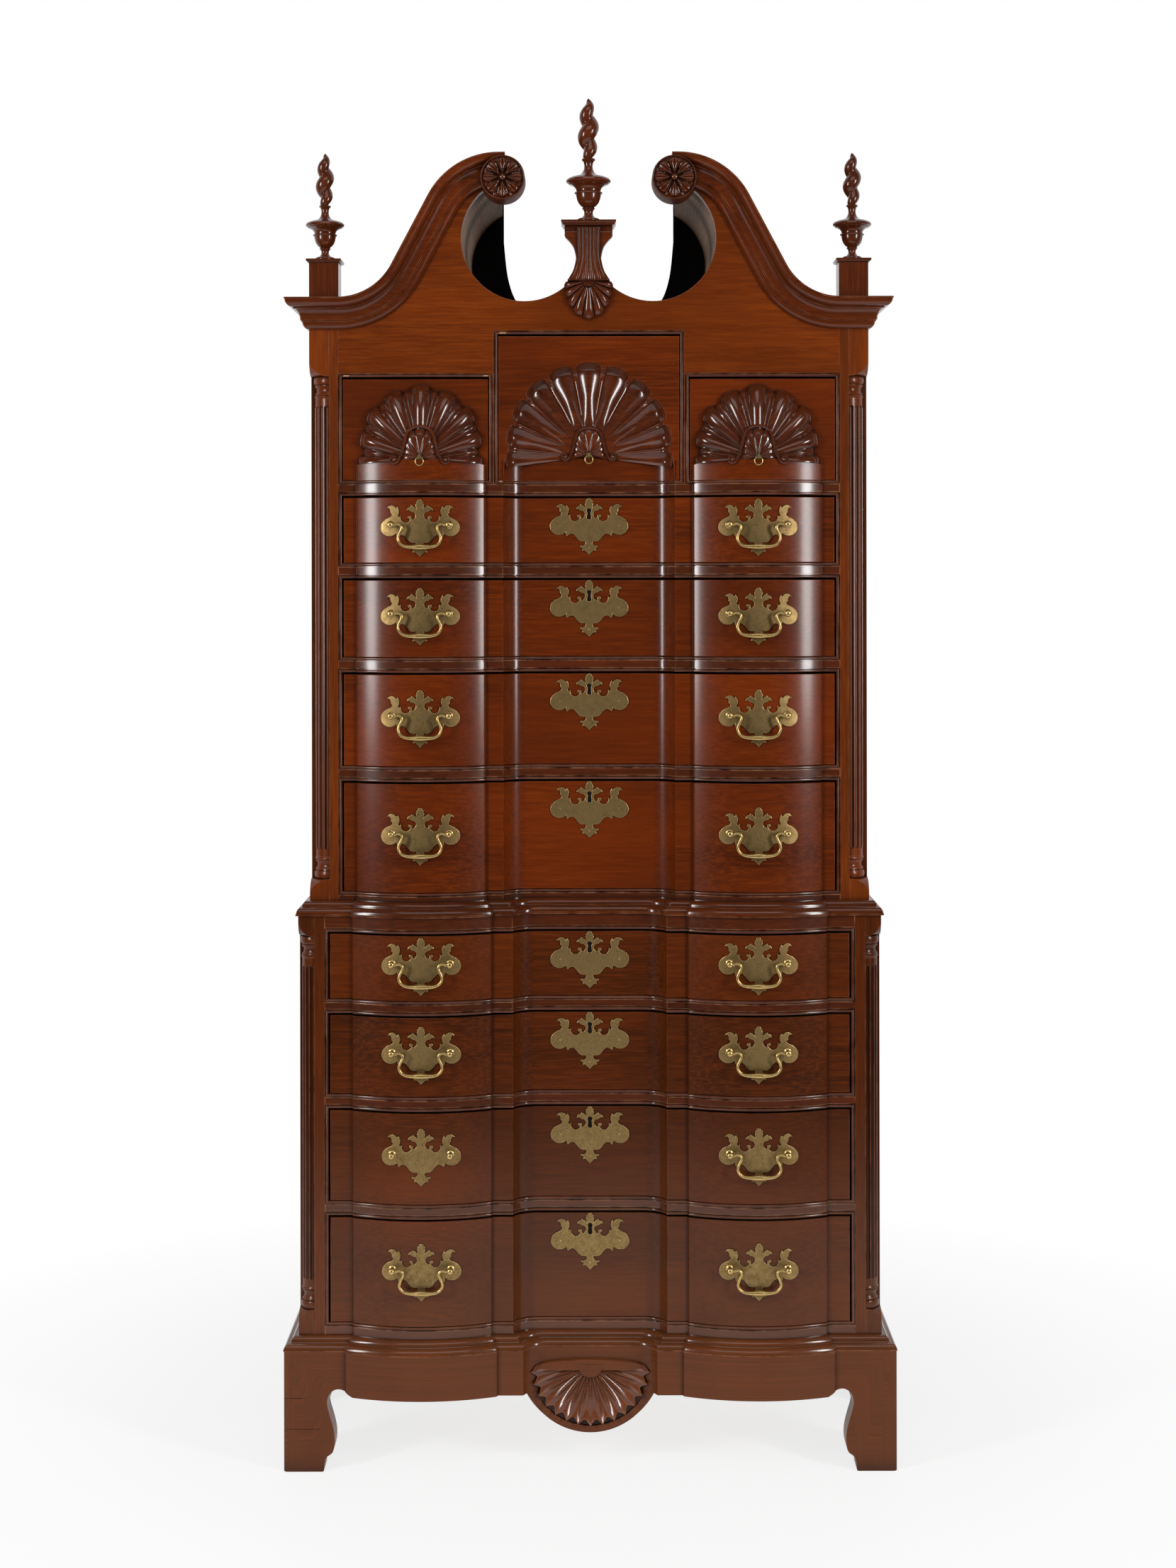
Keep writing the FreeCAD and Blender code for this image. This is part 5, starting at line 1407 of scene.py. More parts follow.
shares = steps(0.2, 0.86, 11) + [0.91, 0.95, 0.975, 0.992, 1.0]
small_shell, dark = fan(steps(180, 360, 180), shares, plinth_rim, plinth_height, plinth_shade,
                        (0, UPPER.front, plinth_z))
make("plinth_shell", small_shell, carved_wood, dark=dark)
knob = [(10.6, 0), (10.6, 19.0), (9.4, 20.4), (0.05, 21.0)]
make("plinth_boss", turned(0, plinth_z, UPPER.front, knob, steps(180, 360, 24)), carved_wood)
print("plinth shell:", len(small_shell[0]), "points")

# %% [markdown]
# ## Corner plinths and finials
# The three finials are turned on a lathe: an urn, a saucer and a short neck. The flame above is
# carved, one thick strand that winds nearly three times round as it rises to its tip.

# %% Corner plinths
CORNER_HIGH, CORNER_CAP = 65.0, 6.0


def corner_plinth():
    x0, x1, y0 = UPPER.half - CORNER_PLINTH, UPPER.half, UPPER.front
    y1, top = UPPER.front + CORNER_PLINTH, CORNICE_TOP + CORNER_HIGH
    rows = [(1.0, 0), (2.6, 0.6), (3.4, 2.0), (5.0, 2.4), (5.0, 5.2), (4.3, CORNER_CAP)]
    cap = skin([[(x0 - d, y0 - d, top + h), (x1 + d, y0 - d, top + h), (x1 + d, y1 + d, top + h),
                 (x0 - d, y1 + d, top + h)] for d, h in rows])
    return join(box(x0, x1, y0, y1, CORNICE_TOP, top), cap)


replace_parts(make("corner_posts", both(corner_plinth()), turned_wood), "corner_plinths")
print("corner plinths:", CORNER_PLINTH, "mm square")

# %% Tubes
def tube(path, sides, closed=False):
    """A round rod along (x, y, z, radius), for paths that lie upright and face the room."""
    rings, ahead = [], Vector((0, 1, 0))
    last = len(path) - 1
    turns = [math.radians(a) for a in around(sides)]
    for i, (x, y, z, r) in enumerate(path):
        before, after = max(i - 1, 0), min(i + 1, last)
        if closed:
            before, after = i - 1, (i + 1) % len(path)
        run = Vector(path[after][:3]) - Vector(path[before][:3])
        side = run.cross(ahead).normalized()
        up = side.cross(run).normalized()
        rings.append([tuple(Vector((x, y, z)) + side * (r * math.cos(t)) + up * (r * math.sin(t)))
                      for t in turns])
    return skin(rings + [rings[0]] if closed else rings, caps=not closed)


print("tubes are ready")

# %% Urns and flames
URN = [(0.05, 0), (18.4, 0), (19.4, 1.0), (19.8, 3.0), (19.0, 5.0), (16.5, 6.4), (12.5, 7.0),
       (11.2, 8.4), (8.4, 11.5), (7.4, 15.0), (7.8, 18.5), (9.2, 20.8), (9.0, 21.6), (10.8, 22.2),
       (11.4, 23.4), (10.6, 24.8), (9.6, 25.4), (13.8, 28.4), (17.6, 33.0), (20.2, 39.0),
       (21.6, 45.5), (21.8, 48.6), (23.6, 49.0), (24.7, 50.6), (23.8, 52.2), (21.6, 52.8),
       (21.4, 55.0), (22.0, 57.4), (24.2, 60.8), (28.6, 63.8), (33.4, 65.4), (35.0, 66.2),
       (35.6, 67.6), (38.4, 68.8), (39.2, 71.2), (38.4, 74.0), (35.0, 76.6), (29.6, 78.8),
       (22.0, 80.4), (14.4, 83.2), (10.4, 87.2), (8.0, 92.6), (7.4, 98.0), (8.0, 103.4),
       (9.6, 106.6), (11.4, 107.6), (12.0, 109.2), (11.2, 110.8), (9.4, 111.6), (0.05, 112.0)]
FLAME_SHAPE = [(0.0, 8.6), (0.06, 11.0), (0.2, 15.2), (0.36, 17.6), (0.52, 17.2), (0.68, 15.2),
               (0.82, 11.4), (0.92, 7.0), (0.975, 3.4), (1.0, 0.4)]


def blend_line(points, at):
    for (a, p), (b, q) in zip(points, points[1:]):
        if at <= b:
            return p + (q - p) * (at - a) / (b - a)
    return points[-1][1]


FLAME_TURN, FLAME_HIGH, CORNER_SCALE = 980, 106.0, 0.87


def finial(cx, cy, cz, scale):
    turns = [math.radians(a) for a in around(40)]
    urn = [[(cx + r * scale * math.cos(t), cy + r * scale * math.sin(t), cz + h * scale)
            for t in turns] for r, h in URN]
    flame_shape, path = smooth(FLAME_SHAPE, 3), []
    for share in steps(0, 1, 96):
        reach = blend_line(flame_shape, share) * scale
        turn = math.radians(200 + FLAME_TURN * share)
        path.append((cx + 0.24 * reach * math.cos(turn), cy + 0.24 * reach * math.sin(turn),
                     cz + (111.0 + FLAME_HIGH * share) * scale, 0.84 * reach))
    return join(skin(urn), tube(path, 20))


middle = finial(0, UPPER.front + (SCROLL_THICK - PLINTH_OUT) / 2, PLINTH_TOP, 1.0)
corner_x, corner_y = UPPER.half - CORNER_PLINTH / 2, UPPER.front + CORNER_PLINTH / 2
corner_z = CORNICE_TOP + CORNER_HIGH + CORNER_CAP
corner = [finial(x, corner_y, corner_z, CORNER_SCALE) for x in (corner_x, -corner_x)]
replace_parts(make("turned_finials", join(middle, *corner), turned_wood), "finials")
print("finials:", round(max(z for x, y, z in middle[0])), "mm high at the middle flame")

# %% [markdown]
# ## Drawers
# A wide drawer has a thick front, cut from one plank to the blocked line, and a box of pale wood
# behind it. The sides are joined to the front with dovetails: pale tails show in the mahogany
# when the drawer is out.

# %% Drawer boxes
DRAWER_SIDE, DRAWER_REAR = 12.0, BACK - 30.0
SHADOW_GAP, END_GAP = 1.8, 1.8


def drawer_box(x0, x1, y0, z0, z1):
    """Sides, back and bottom of a drawer box behind its front."""
    y1, top = DRAWER_REAR, z1 - 6.0
    in0, in1 = x0 + DRAWER_SIDE, x1 - DRAWER_SIDE
    return join(box(x0, in0, y0, y1, z0, top, 0.8), box(in1, x1, y0, y1, z0, top, 0.8),
                box(in0, in1, y1 - DRAWER_SIDE, y1, z0 + 6, top - 10),
                box(in0 - 3, in1 + 3, y0 - 1, y1, z0 + 6, z0 + 14, 0.3))


def dovetails(x0, x1, y0, z0, z1, tails):
    """Tails of the drawer sides, a hair proud of the ends of the front."""
    shapes = []
    pitch = (z1 - z0 - 12.0) / tails
    flare = 0.09 * pitch
    for i in range(tails):
        low, high = z0 + 5 + pitch * i, z0 + 5 + pitch * (i + 0.78)
        face = [(low - flare, -20.0), (high + flare, -20.0), (high, 0.5), (low, 0.5)]
        for x, side in ((x0, -1), (x1, 1)):
            shapes.append(skin([[(x - side * 2.0, y0 + d, z) for z, d in face],
                                [(x + side * 0.15, y0 + d, z) for z, d in face]]))
    return join(*shapes)


def pale_box(node, plan, tails):
    low, high = corners(node)
    sizes = (low.x, high.x, plan.front + FRONT_THICK, low.z, high.z)
    shape = join(drawer_box(*sizes), dovetails(*sizes, tails))
    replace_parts(make(node + "_box", shape, box_wood, body=node), node)


print("drawer boxes end at", round(DRAWER_REAR), "mm")

# %% Wide drawers
def wide_drawer(node, plan, wood):
    low, high = corners(node)
    front = blocked_board(plan, low.x + END_GAP, high.x - END_GAP, low.z, high.z - SHADOW_GAP,
                          plan.front + FRONT_THICK, ease=0.9, setback=INSET)
    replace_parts(make(node + "_front", front, wood, body=node), node)
    pale_box(node, plan, 4 if high.z - low.z > 130 else 3)


for n in (1, 2, 3, 4):
    wide_drawer(f"upper_drawer_{n}", UPPER, drawer_wood)
    wide_drawer(f"lower_drawer_{n}", LOWER, lower_wood)
print("wide drawers: 8")

# %% [markdown]
# ## Side shells
# The two outer top drawers carry a raised shell. The block below runs up into it, so the shell is
# as proud as the block at its root and falls in a curve to the flat panel at its rim. Nine round
# lobes stand between hollow flutes with a small step on each side.

# %% Shell tools
def at_angle(table, a):
    """Read a table of (degrees from upright, value)."""
    away = abs(a - 90.0)
    if away <= table[0][0]:
        return table[0][1]
    return blend_line(table, away)


def arched_band(line, z0, low, high, middle, half, back):
    """The part of a block below its shell, its upper edge an arch."""
    columns = []
    for x, y in line:
        top = z0 + low + (high - low) * math.sqrt(max(1 - ((x - middle) / half) ** 2, 0))
        columns.append([(x, back, z0), (x, y, z0), (x, y, top - 1.0), (x, y + 1.0, top),
                        (x, back, top)])
    return skin(columns)


print("shell tools ready")

# %% Side shells
SIDE_SHELL_X = (UPPER.block_out + UPPER.block_in) / 2
SHELL_RISE = BLOCK_RISE - INSET
SIDE_PITCH, SIDE_ROOT, SIDE_LOBE, SIDE_STEP = 23.5, 36.4, 0.31, 0.355
SIDE_TIPS = [(0, 134.0), (20, 130.0), (44, 126.0), (69, 113.4), (94, 108.6)]
SIDE_FLUTES = [(0, 124.5), (12.6, 122.7), (36.8, 120.0), (55.7, 113.6), (79.4, 101.0), (94, 98)]


def side_rim(a):
    w = phase(a, SIDE_PITCH)
    tip, flute = at_angle(SIDE_TIPS, a), at_angle(SIDE_FLUTES, a)
    if w < 0.33:
        return tip - 5.5 * (1 - math.sqrt(1 - (w / 0.33) ** 2))
    scoop = min((w - 0.33) / 0.17, 1.0)
    return flute + 2.0 * math.sin(scoop * math.pi / 2) - 2.0


def side_height(a, s):
    w = phase(a, SIDE_PITCH)
    if w < SIDE_LOBE:
        across = -1.5 + 5.5 * (1 - (w / SIDE_LOBE) ** 1.7)
    elif w < SIDE_STEP:
        across = -1.5 + 3.0 * (w - SIDE_LOBE) / (SIDE_STEP - SIDE_LOBE)
    else:
        across = 1.5 - 5.0 * math.sin((w - SIDE_STEP) / (0.5 - SIDE_STEP) * math.pi / 2)
    fall = math.sqrt(max(1 - s ** 3, 0.0))
    strong = 0.25 + 0.75 * min(max((s - 0.3) / 0.4, 0.0), 1.0)
    return max((SHELL_RISE - 4.0) * fall + across * strong * min((1.0 - s) * 14, 1.0), -0.5)


def side_shade(a, s):
    # Painted shade in the grooves beside each lobe and round the rim.
    w = phase(a, SIDE_PITCH)
    groove = 0.85 if 0.29 < w < 0.34 else 0.0
    return max(groove * min(s * 1.4, 1.0), 0.5 if s > 0.985 else 0.0)


print("side lobes:", len(SIDE_TIPS) * 2 - 1)

# %% Side drawers
def side_shell(node, mirrored):
    """A side drawer, worked out on the right and flipped for the left."""
    low, high = corners(node)
    x0, x1 = (-high.x, -low.x) if mirrored else (low.x, high.x)
    face, root = UPPER.front + INSET, low.z + SIDE_ROOT
    shares = steps(0.02, 0.9, 22) + [0.93, 0.955, 0.975, 0.988, 0.996, 1.0]
    carved, dark = fan(steps(-4, 184, 8 * 40), shares, side_rim, side_height, side_shade,
                       (SIDE_SHELL_X, face, root))
    line = [(x, y + INSET) for x, y in front_line(UPPER, UPPER.block_in - 1, UPPER.block_out + 1)]
    band = arched_band(line, low.z, 25.0, SIDE_ROOT, SIDE_SHELL_X, 115.0, UPPER.front + 20)
    panel = box(x0, x1, face, UPPER.front + FRONT_THICK, low.z, high.z - SHADOW_GAP, 0.8)
    front = join(panel, band)
    if mirrored:
        carved, front = flip(carved), flip(front)
    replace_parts(make(node + "_shell", carved, carved_wood, body=node, dark=dark), node)
    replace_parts(make(node + "_front", front, drawer_wood, body=node), node)
    pale_box(node, UPPER, 5)


side_shell("shell_drawer_right", False)
side_shell("shell_drawer_left", True)
print("side shells:", round(2 * SIDE_TIPS[0][1]), "mm across at most")

# %% [markdown]
# ## Centre shell
# The middle shell is sunk into its taller drawer. A thin rim follows the lobes, the wall drops
# steeply, and the floor deepens slowly towards the bell. The lobes are hollow like spoons here,
# and the ribs between them stand up with two fine ridges.

# %% Centre shell
CENTRE_PITCH, CENTRE_ROOT, CENTRE_SPOON, CENTRE_EDGE, BACKING = 19.0, 43.9, 0.4, 3.0, 9.0
CENTRE_TIPS = [(0, 164.0), (19, 162.5), (38, 160.0), (56.4, 155.0), (76.5, 149.4), (98, 147.0)]
CENTRE_RIBS = [(0, 154.0), (12.5, 152.0), (30.4, 148.6), (48.8, 146.0), (68.4, 141.0),
               (88, 141.0), (98, 141.0)]


def centre_rim(a):
    w = phase(a, CENTRE_PITCH)
    tip, rib = at_angle(CENTRE_TIPS, a), at_angle(CENTRE_RIBS, a)
    if w < 0.41:
        return tip - 7.0 * (1 - math.sqrt(max(1 - (w / 0.42) ** 2, 0)))
    turn = (w - 0.41) / 0.09
    return rib + 1.2 * math.sin(turn * math.pi / 2)


def centre_height(a, s):
    w, inward = phase(a, CENTRE_PITCH), centre_rim(a) * (1 - s)
    if inward < CENTRE_EDGE:
        return -1.5 if inward > 0.6 else 0.0
    deep = inward - CENTRE_EDGE
    wall = 12.5 * (1 - math.exp(-deep / 4.0))
    slow = 13.0 * min(deep / 95.0, 1.0)
    strong = min(max((s - 0.28) / 0.35, 0.0), 1.0)
    if w < CENTRE_SPOON:
        across = 1.0 - 6.5 * (1 - (w / CENTRE_SPOON) ** 1.5)
    else:
        across = 1.0 + 1.2 * max(math.cos((w - 0.45) / 0.05 * math.pi / 2), 0.0)
    return -1.5 - wall - slow + across * strong * min(deep / 8, 1.0)


def centre_shade(a, s):
    # Painted shade on the upper ends of the spoons and in the grooves beside the ribs.
    w, inward = phase(a, CENTRE_PITCH), centre_rim(a) * (1 - s)
    if inward < CENTRE_EDGE:
        return 0.0
    tip = max(1 - inward / 16.0, 0.0) if w < CENTRE_SPOON else 0.0
    groove = 0.6 if 0.375 < w < 0.415 else 0.0
    return max(tip * 0.35, groove)


print("centre lobes:", len(CENTRE_TIPS) * 2 - 1)

# %% Centre drawer
def centre_shell(node):
    low, high = corners(node)
    root, face, top = low.z + CENTRE_ROOT, UPPER.front + INSET, high.z - SHADOW_GAP
    angles = steps(-8, 188, 10 * 36)
    shares = steps(0.02, 0.86, 26) + [0.88, 0.9, 0.915, 0.93, 0.942, 0.953, 0.963, 0.972, 0.98,
                                      0.9815, 0.996, 0.9965, 1.0]
    carved, dark = fan(angles, shares, centre_rim, centre_height, centre_shade, (0, face, root))
    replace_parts(make(node + "_shell", carved, carved_wood, body=node, dark=dark), node)
    rim = [(centre_rim(a) * math.cos(math.radians(a)),
            root + centre_rim(a) * math.sin(math.radians(a))) for a in angles]
    rim = [(x, z) for x, z in rim if z > low.z + 36]
    outline = ([(high.x, low.z), (high.x, top), (low.x, top), (low.x, low.z),
                (-UPPER.recess, low.z)] + list(reversed(rim)) + [(UPPER.recess, low.z)])
    panel = sawn(node + "_panel", [outline], face, UPPER.front + FRONT_THICK - 1.0, drawer_wood,
                 body=node)
    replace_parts(panel, node)
    line = [(x, y + INSET) for x, y in front_line(UPPER, -UPPER.recess - 1, UPPER.recess + 1)]
    back = UPPER.front + FRONT_THICK
    band = arched_band(line, low.z, 36.4, 41.7, 0.0, 150.0, back - 0.5)
    backing = box(low.x, high.x, back - BACKING, back, low.z, high.z, 0.3)
    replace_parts(make(node + "_front", join(band, backing), drawer_wood, body=node), node)
    pale_box(node, UPPER, 6)


centre_shell("shell_drawer_centre")
print("centre shell:", round(2 * CENTRE_TIPS[0][1]), "mm across at most")

# %% [markdown]
# ## Bells and palmettes
# At the root of each drawer shell a band in the shape of a bell frames a small palmette. The band
# curls into a volute at each foot. Both are laid on the shell, so they are tubes and a small fan.

# %% The line of the bell
BELL = [(0, 57.5, 2.6), (10, 56.5, 2.6), (18, 51.5, 2.6), (23.5, 42.5, 2.6), (27, 28, 2.5),
        (31, 12, 2.4), (36, 0, 2.3), (41, -6.0, 2.2), (47, -7.2, 2.1), (51.6, -2.8, 2.0),
        (50.5, 2.8, 1.9), (45.8, 4.2, 1.8), (42.2, 0.8, 1.7), (44, -2.4, 2.4)]
PALMETTE = [(0, 51.0), (20, 48.5), (36, 41.0), (52, 34.0), (68, 29.0), (84, 28.0), (100, 30.0)]
PALMETTE_PITCH = 22.5


def palmette_height(a, s):
    w = phase(a, PALMETTE_PITCH) * 2
    lobe = math.sqrt(max(1 - w * w, 0.0))
    return 1.0 + 3.4 * math.sin(min(s + 0.12, 1.0) * math.pi) ** 0.6 * (0.5 + 0.5 * lobe)


def palmette_rim(a):
    w = phase(a, PALMETTE_PITCH) * 2
    return at_angle(PALMETTE, a) - 3.0 * w * w


def bell(cx, y, cz, wide=1.0, high=1.0):
    right = [(cx + x * wide, y - 1.6, cz + z * high, r) for x, z, r in smooth(BELL, 4)]
    left = [(2 * cx - x, y - 1.6, z, r) for x, _, z, r in right[1:]]
    eye = [(0.3, -3), (3.0, -3), (3.0, 3.4), (1.6, 4.6), (0.05, 5.0)]
    eyes = [turned(cx + side * 45.5 * wide, cz - 1.4, y, eye, around(14), caps=True)
            for side in (1, -1)]
    return join(tube(list(reversed(left)) + right, 10), *eyes)


def palmette(cx, y, cz):
    shares = [0.1] + steps(0.16, 0.94, 12) + [0.97, 0.99, 1.0]

    def height(a, s):
        return palmette_height(a, s) if s < 0.995 else -2.0

    def shade(a, s):
        # Painted shade between the leaves and round the rim.
        return 0.8 if phase(a, PALMETTE_PITCH) > 0.42 or s > 0.98 else 0.0
    return fan(steps(-10, 190, 200), shares, palmette_rim, height, shade, (cx, y, cz))


print("bell line:", len(BELL), "points")

# %% Bells and palmettes
for side, cx in (("left", -SIDE_SHELL_X), ("right", SIDE_SHELL_X), ("centre", 0.0)):
    node = f"shell_drawer_{side}"
    face, foot = UPPER.front + INSET, corners(node)[0].z
    if side == "centre":
        y, cz = face + 27.0, foot + CENTRE_ROOT
        band = bell(cx, y, cz, 0.93, 0.88)
    else:
        y, cz = face - SHELL_RISE + 0.8, foot + SIDE_ROOT
        band = bell(cx, y, cz)
    leaves, dark = palmette(cx, y + 1.0, cz + 3.0)
    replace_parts(make(node + "_bell", band, carved_wood, body=node), node)
    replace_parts(make(node + "_palmette", leaves, carved_wood, body=node, dark=dark), node)
print("bells and palmettes: 3")

# %% [markdown]
# ## Brass plates
# Each pull has a thin plate with a bat's-wing outline and bevelled edges. The block behind it is
# bowed, so the plate is sliced upright and bent to lie on it. The outline is drawn for one half,
# as spans that meet in sharp points and run smoothly between them.

# %% Plate outlines
PLATE_TOP = (0, 48.5)
PLATE_SPANS = [
    [(2.6, 47.9), (3.9, 46.3), (4.4, 44.2)],
    [(5.6, 44.2), (6.8, 43.1), (6.6, 41.8), (5.7, 41)],
    [(7.2, 38.8), (6.8, 35), (6.0, 31.2)],
    [(9.6, 34.5), (12.6, 36.6), (15.7, 38.3)],
    [(15.4, 36.8), (16, 35.3)],
    [(19.4, 34.2), (22, 31.8), (23.7, 28.1)],
    [(20.6, 29.2), (18.3, 28.6), (15.1, 26.3), (11.4, 25.6), (8.7, 23.3), (7.4, 19.5),
     (8.7, 15.8), (11.4, 13.2), (13.6, 12.9), (14.4, 14.6), (14.2, 16.8), (15.9, 18.7),
     (18.7, 19.2), (20.9, 17.2), (20.2, 14.6), (18, 13.4), (17.4, 12.2)],
    [(18.9, 10.2), (21.9, 8.3), (25.8, 7.7), (30.1, 9.3), (32.6, 12.5), (33.4, 16),
     (33.1, 19.2)],
    [(34.8, 17.8), (37.4, 18.2), (38.3, 20)],
    [(36.7, 23.3), (36.3, 28.6), (37.6, 33), (39.8, 35.9)],
    [(40.6, 33.8), (41.8, 32.4)],
    [(43.4, 34.6), (46.4, 36.9), (50.5, 37.7), (54.8, 36.1), (58.9, 32.1)],
    [(55.5, 33), (52.8, 31), (51.6, 27.6), (51.9, 24.5)],
    [(50, 23.2), (49.4, 20.2), (51.6, 17.6), (56.4, 15.5), (62.3, 12), (67.4, 6.1),
     (69.3, -0.3), (68.3, -7), (63.6, -13), (56.9, -16.2), (49.4, -16), (43.6, -13.4),
     (41.3, -11.4)],
    [(41, -15.4), (38.9, -19.6)],
    [(36, -16.4), (31.4, -14.5), (27, -16), (23.2, -20.2), (18.9, -25.4), (14, -28),
     (6.9, -28.2)],
    [(6.3, -31.4), (7.8, -34.4), (11, -35.8), (14.4, -35.2)],
    [(17.5, -36.8)],
    [(14, -39.2), (10.6, -40.5)],
    [(12.4, -42.4), (12.4, -45.3)],
    [(9.8, -44.1), (7.1, -45.1), (4, -48), (0, -52.3)]]
PLATE_DROP = 3.4


def plate_outline():
    half, corner = [], PLATE_TOP
    for span in PLATE_SPANS:
        half += smooth([corner] + span, 4)[:-1]
        corner = span[-1]
    half.append(corner)
    return half + [(-x, z) for x, z in reversed(half[1:-1])]


print("plate outline:", len(plate_outline()), "points")

# %% Plates, bent to the block
SLICE = 5.8


def plate_at(name, cx, cz, y, body, holes=()):
    """A flat plate, cast about its own middle, with holes."""
    outlines = [[(cx + x, cz + z) for x, z in line] for line in (plate_outline(), *holes)]
    return sawn(name, outlines, y - 1.9, y + 0.2, plate_brass, body, ease=0.7)


def bend(piece, cx, sweep):
    """Slice a plate upright and lay it on a bow of a given radius."""
    bm = bmesh.new()
    bm.from_mesh(piece.data)
    for i in range(-12, 13):
        bmesh.ops.bisect_plane(bm, geom=bm.verts[:] + bm.edges[:] + bm.faces[:],
                               plane_co=((cx + i * SLICE) * MM, 0, 0), plane_no=(1, 0, 0))
    bm.to_mesh(piece.data)
    bm.free()
    for vertex in piece.data.vertices:
        vertex.co.y += (vertex.co.x - cx * MM) ** 2 / (2 * sweep * MM)
    return piece


print("slices:", SLICE, "mm wide")

# %% [markdown]
# ## Posts, keyholes and nails
# The bail turns in two posts with ball heads. The keyhole plate is a smaller piece in the same
# style, pinned with small nails, over the lock in the middle of each drawer.

# %% Posts, keyholes and nails
POST_APART, POST_RISE = 101.6, 7.5
KEYHOLE = arc(0, 26.3, 4.1, -48, 228, 16) + [(-3.6, 15.6), (-3.9, 13), (-2.8, 11.2), (0, 10.6),
                                             (2.8, 11.2), (3.9, 13), (3.6, 15.6)]
KEYHOLE_DROP, LOCK_HALF = 51.7, 35
BLOCK_FACE = INSET - BLOCK_RISE


def pull_posts(cx, cz, y, sunk):
    """Two posts with collar, neck and ball head, on a plate that bends back under them."""
    profile = [(7.0, -2.6 - sunk), (7.0, 0.9 - sunk), (6.0, 2.0 - sunk), (4.0, 2.8 - sunk),
               (3.4, 5.0), (3.6, 7.6), (4.8, 9.0), (5.7, 11.2), (6.0, 13.6), (5.5, 15.8),
               (4.0, 17.4), (2.0, 18.1), (0.05, 18.3)]
    return join(*[turned(cx + side * POST_APART / 2, cz, y, profile, around(24), caps=True)
                  for side in (-1, 1)])


def nail(cx, cz, y):
    return turned(cx, cz, y, [(2.3, -1.0), (2.3, 0.2), (1.7, 0.8), (0.05, 1.1)], around(12),
                  caps=True)


print("posts stand", POST_APART, "mm apart")

# %% Brasses on the drawers
def drawer_brasses(node, drawer, plan):
    """Plates, posts, nails and lock of one drawer; gives the height of its posts."""
    low, high = corners(drawer)
    cx = (plan.block_out + plan.block_in) / 2
    post_z = (low.z - RUN_GAP + high.z + TOP_GAP) / 2 + POST_RISE
    y = plan.front + BLOCK_FACE
    sweep = sweep_of((plan.block_out - plan.block_in) / 2)[1]
    fixings = []
    for side, x in (("left", -cx), ("right", cx)):
        plate = plate_at(f"{node}_plate_{side}", x, post_z - PLATE_DROP, y, drawer)
        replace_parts(bend(plate, x, sweep), node)
        fixings.append(pull_posts(x, post_z, y - 1.6, POST_APART ** 2 / 8 / sweep))
    key_y = plan.front + INSET + RECESS_DEPTH
    key_z = high.z + TOP_GAP - KEYHOLE_DROP
    plate = plate_at(f"{node}_keyhole_plate", 0.0, key_z, key_y, drawer, [KEYHOLE])
    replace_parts(plate, node)
    fixings += [nail(x, key_z + z, key_y - 1.8) for x, z in ((-52, 0), (52, 0), (0, -39))]
    lock_y = plan.front + FRONT_THICK
    fixings.append(box(-LOCK_HALF, LOCK_HALF, lock_y - 1, lock_y + 13,
                       high.z - 52, high.z - 2, 0.8))
    metal = make(node + "_fixings", join(*fixings), bail_brass, body=drawer)
    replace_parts(metal, node)
    # Painted shadow: a black sheet behind the keyhole stands for the shade inside it.
    shadow = prism_y([(x, key_z + z) for x, z in KEYHOLE], key_y - 0.5, key_y + 0.4)
    make(node + "_keyhole", shadow, dark_and_shade_wood, body=drawer)
    return post_z


post_levels = {}
for n in (1, 2, 3, 4):
    post_levels["upper", n] = drawer_brasses(f"upper_brass_{n}", f"upper_drawer_{n}", UPPER)
    post_levels["lower", n] = drawer_brasses(f"lower_brass_{n}", f"lower_drawer_{n}", LOWER)
print("plates: 16 pulls, 8 keyholes")

# %% [markdown]
# ## Bails and rings
# A bail is a cast loop: thin where it turns in the posts, curled at its shoulders, and thick in
# the grip. The three shell drawers have small rings on eyes instead.

# %% Bails
BAIL_HALF = [(50.8, -0.6, 2.4), (45.4, -0.8, 3.0), (42.8, -0.2, 2.6), (39.6, 0.8, 2.4),
             (35.4, 0.6, 2.5), (31.8, -2.2, 2.6), (30.9, -6.2, 2.7), (32.6, -11, 2.7),
             (35.4, -16.6, 2.7), (37.3, -22.4, 2.7), (36.8, -27.4, 2.7), (33.6, -32.6, 2.7),
             (28.8, -36.2, 2.8), (21.9, -38.2, 3.2), (12.1, -38.8, 4.0), (6, -38.6, 5.0),
             (0, -38.4, 5.4)]
POST_OUT = 13.0


def bail(cx, y, cz):
    right = [(cx + x, y, cz + z, r) for x, z, r in smooth(BAIL_HALF, 3)]
    left = [(2 * cx - x, y, z, r) for x, _, z, r in right[:-1]]
    return tube(right + list(reversed(left)), 14)


bails = [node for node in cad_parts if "_bail_" in node]
for node in bails:
    stage_name, _, n, side = node.split("_")
    plan = UPPER if stage_name == "upper" else LOWER
    cx = (plan.block_out + plan.block_in) / 2 * (-1 if side == "left" else 1)
    loop = bail(cx, plan.front + BLOCK_FACE - POST_OUT, post_levels[stage_name, int(n)])
    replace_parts(make(node + "_loop", loop, bail_brass, body=node), node)
print("bails:", len(bails))

# %% Ring pulls
for node in ("ring_left", "ring_right", "ring_centre"):
    low, high = corners(node)
    cx, y, cz = (low + high) / 2
    wire = (high.y - low.y) / 2
    reach = (high.x - low.x) / 2 - wire
    loop = [(cx + reach * math.cos(t), y, cz + reach * math.sin(t), wire)
            for t in map(math.radians, around(36))]
    ring = make(node + "_loop", tube(loop, 12, closed=True), bail_brass, body=node)
    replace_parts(ring, node)
print("rings: 3")

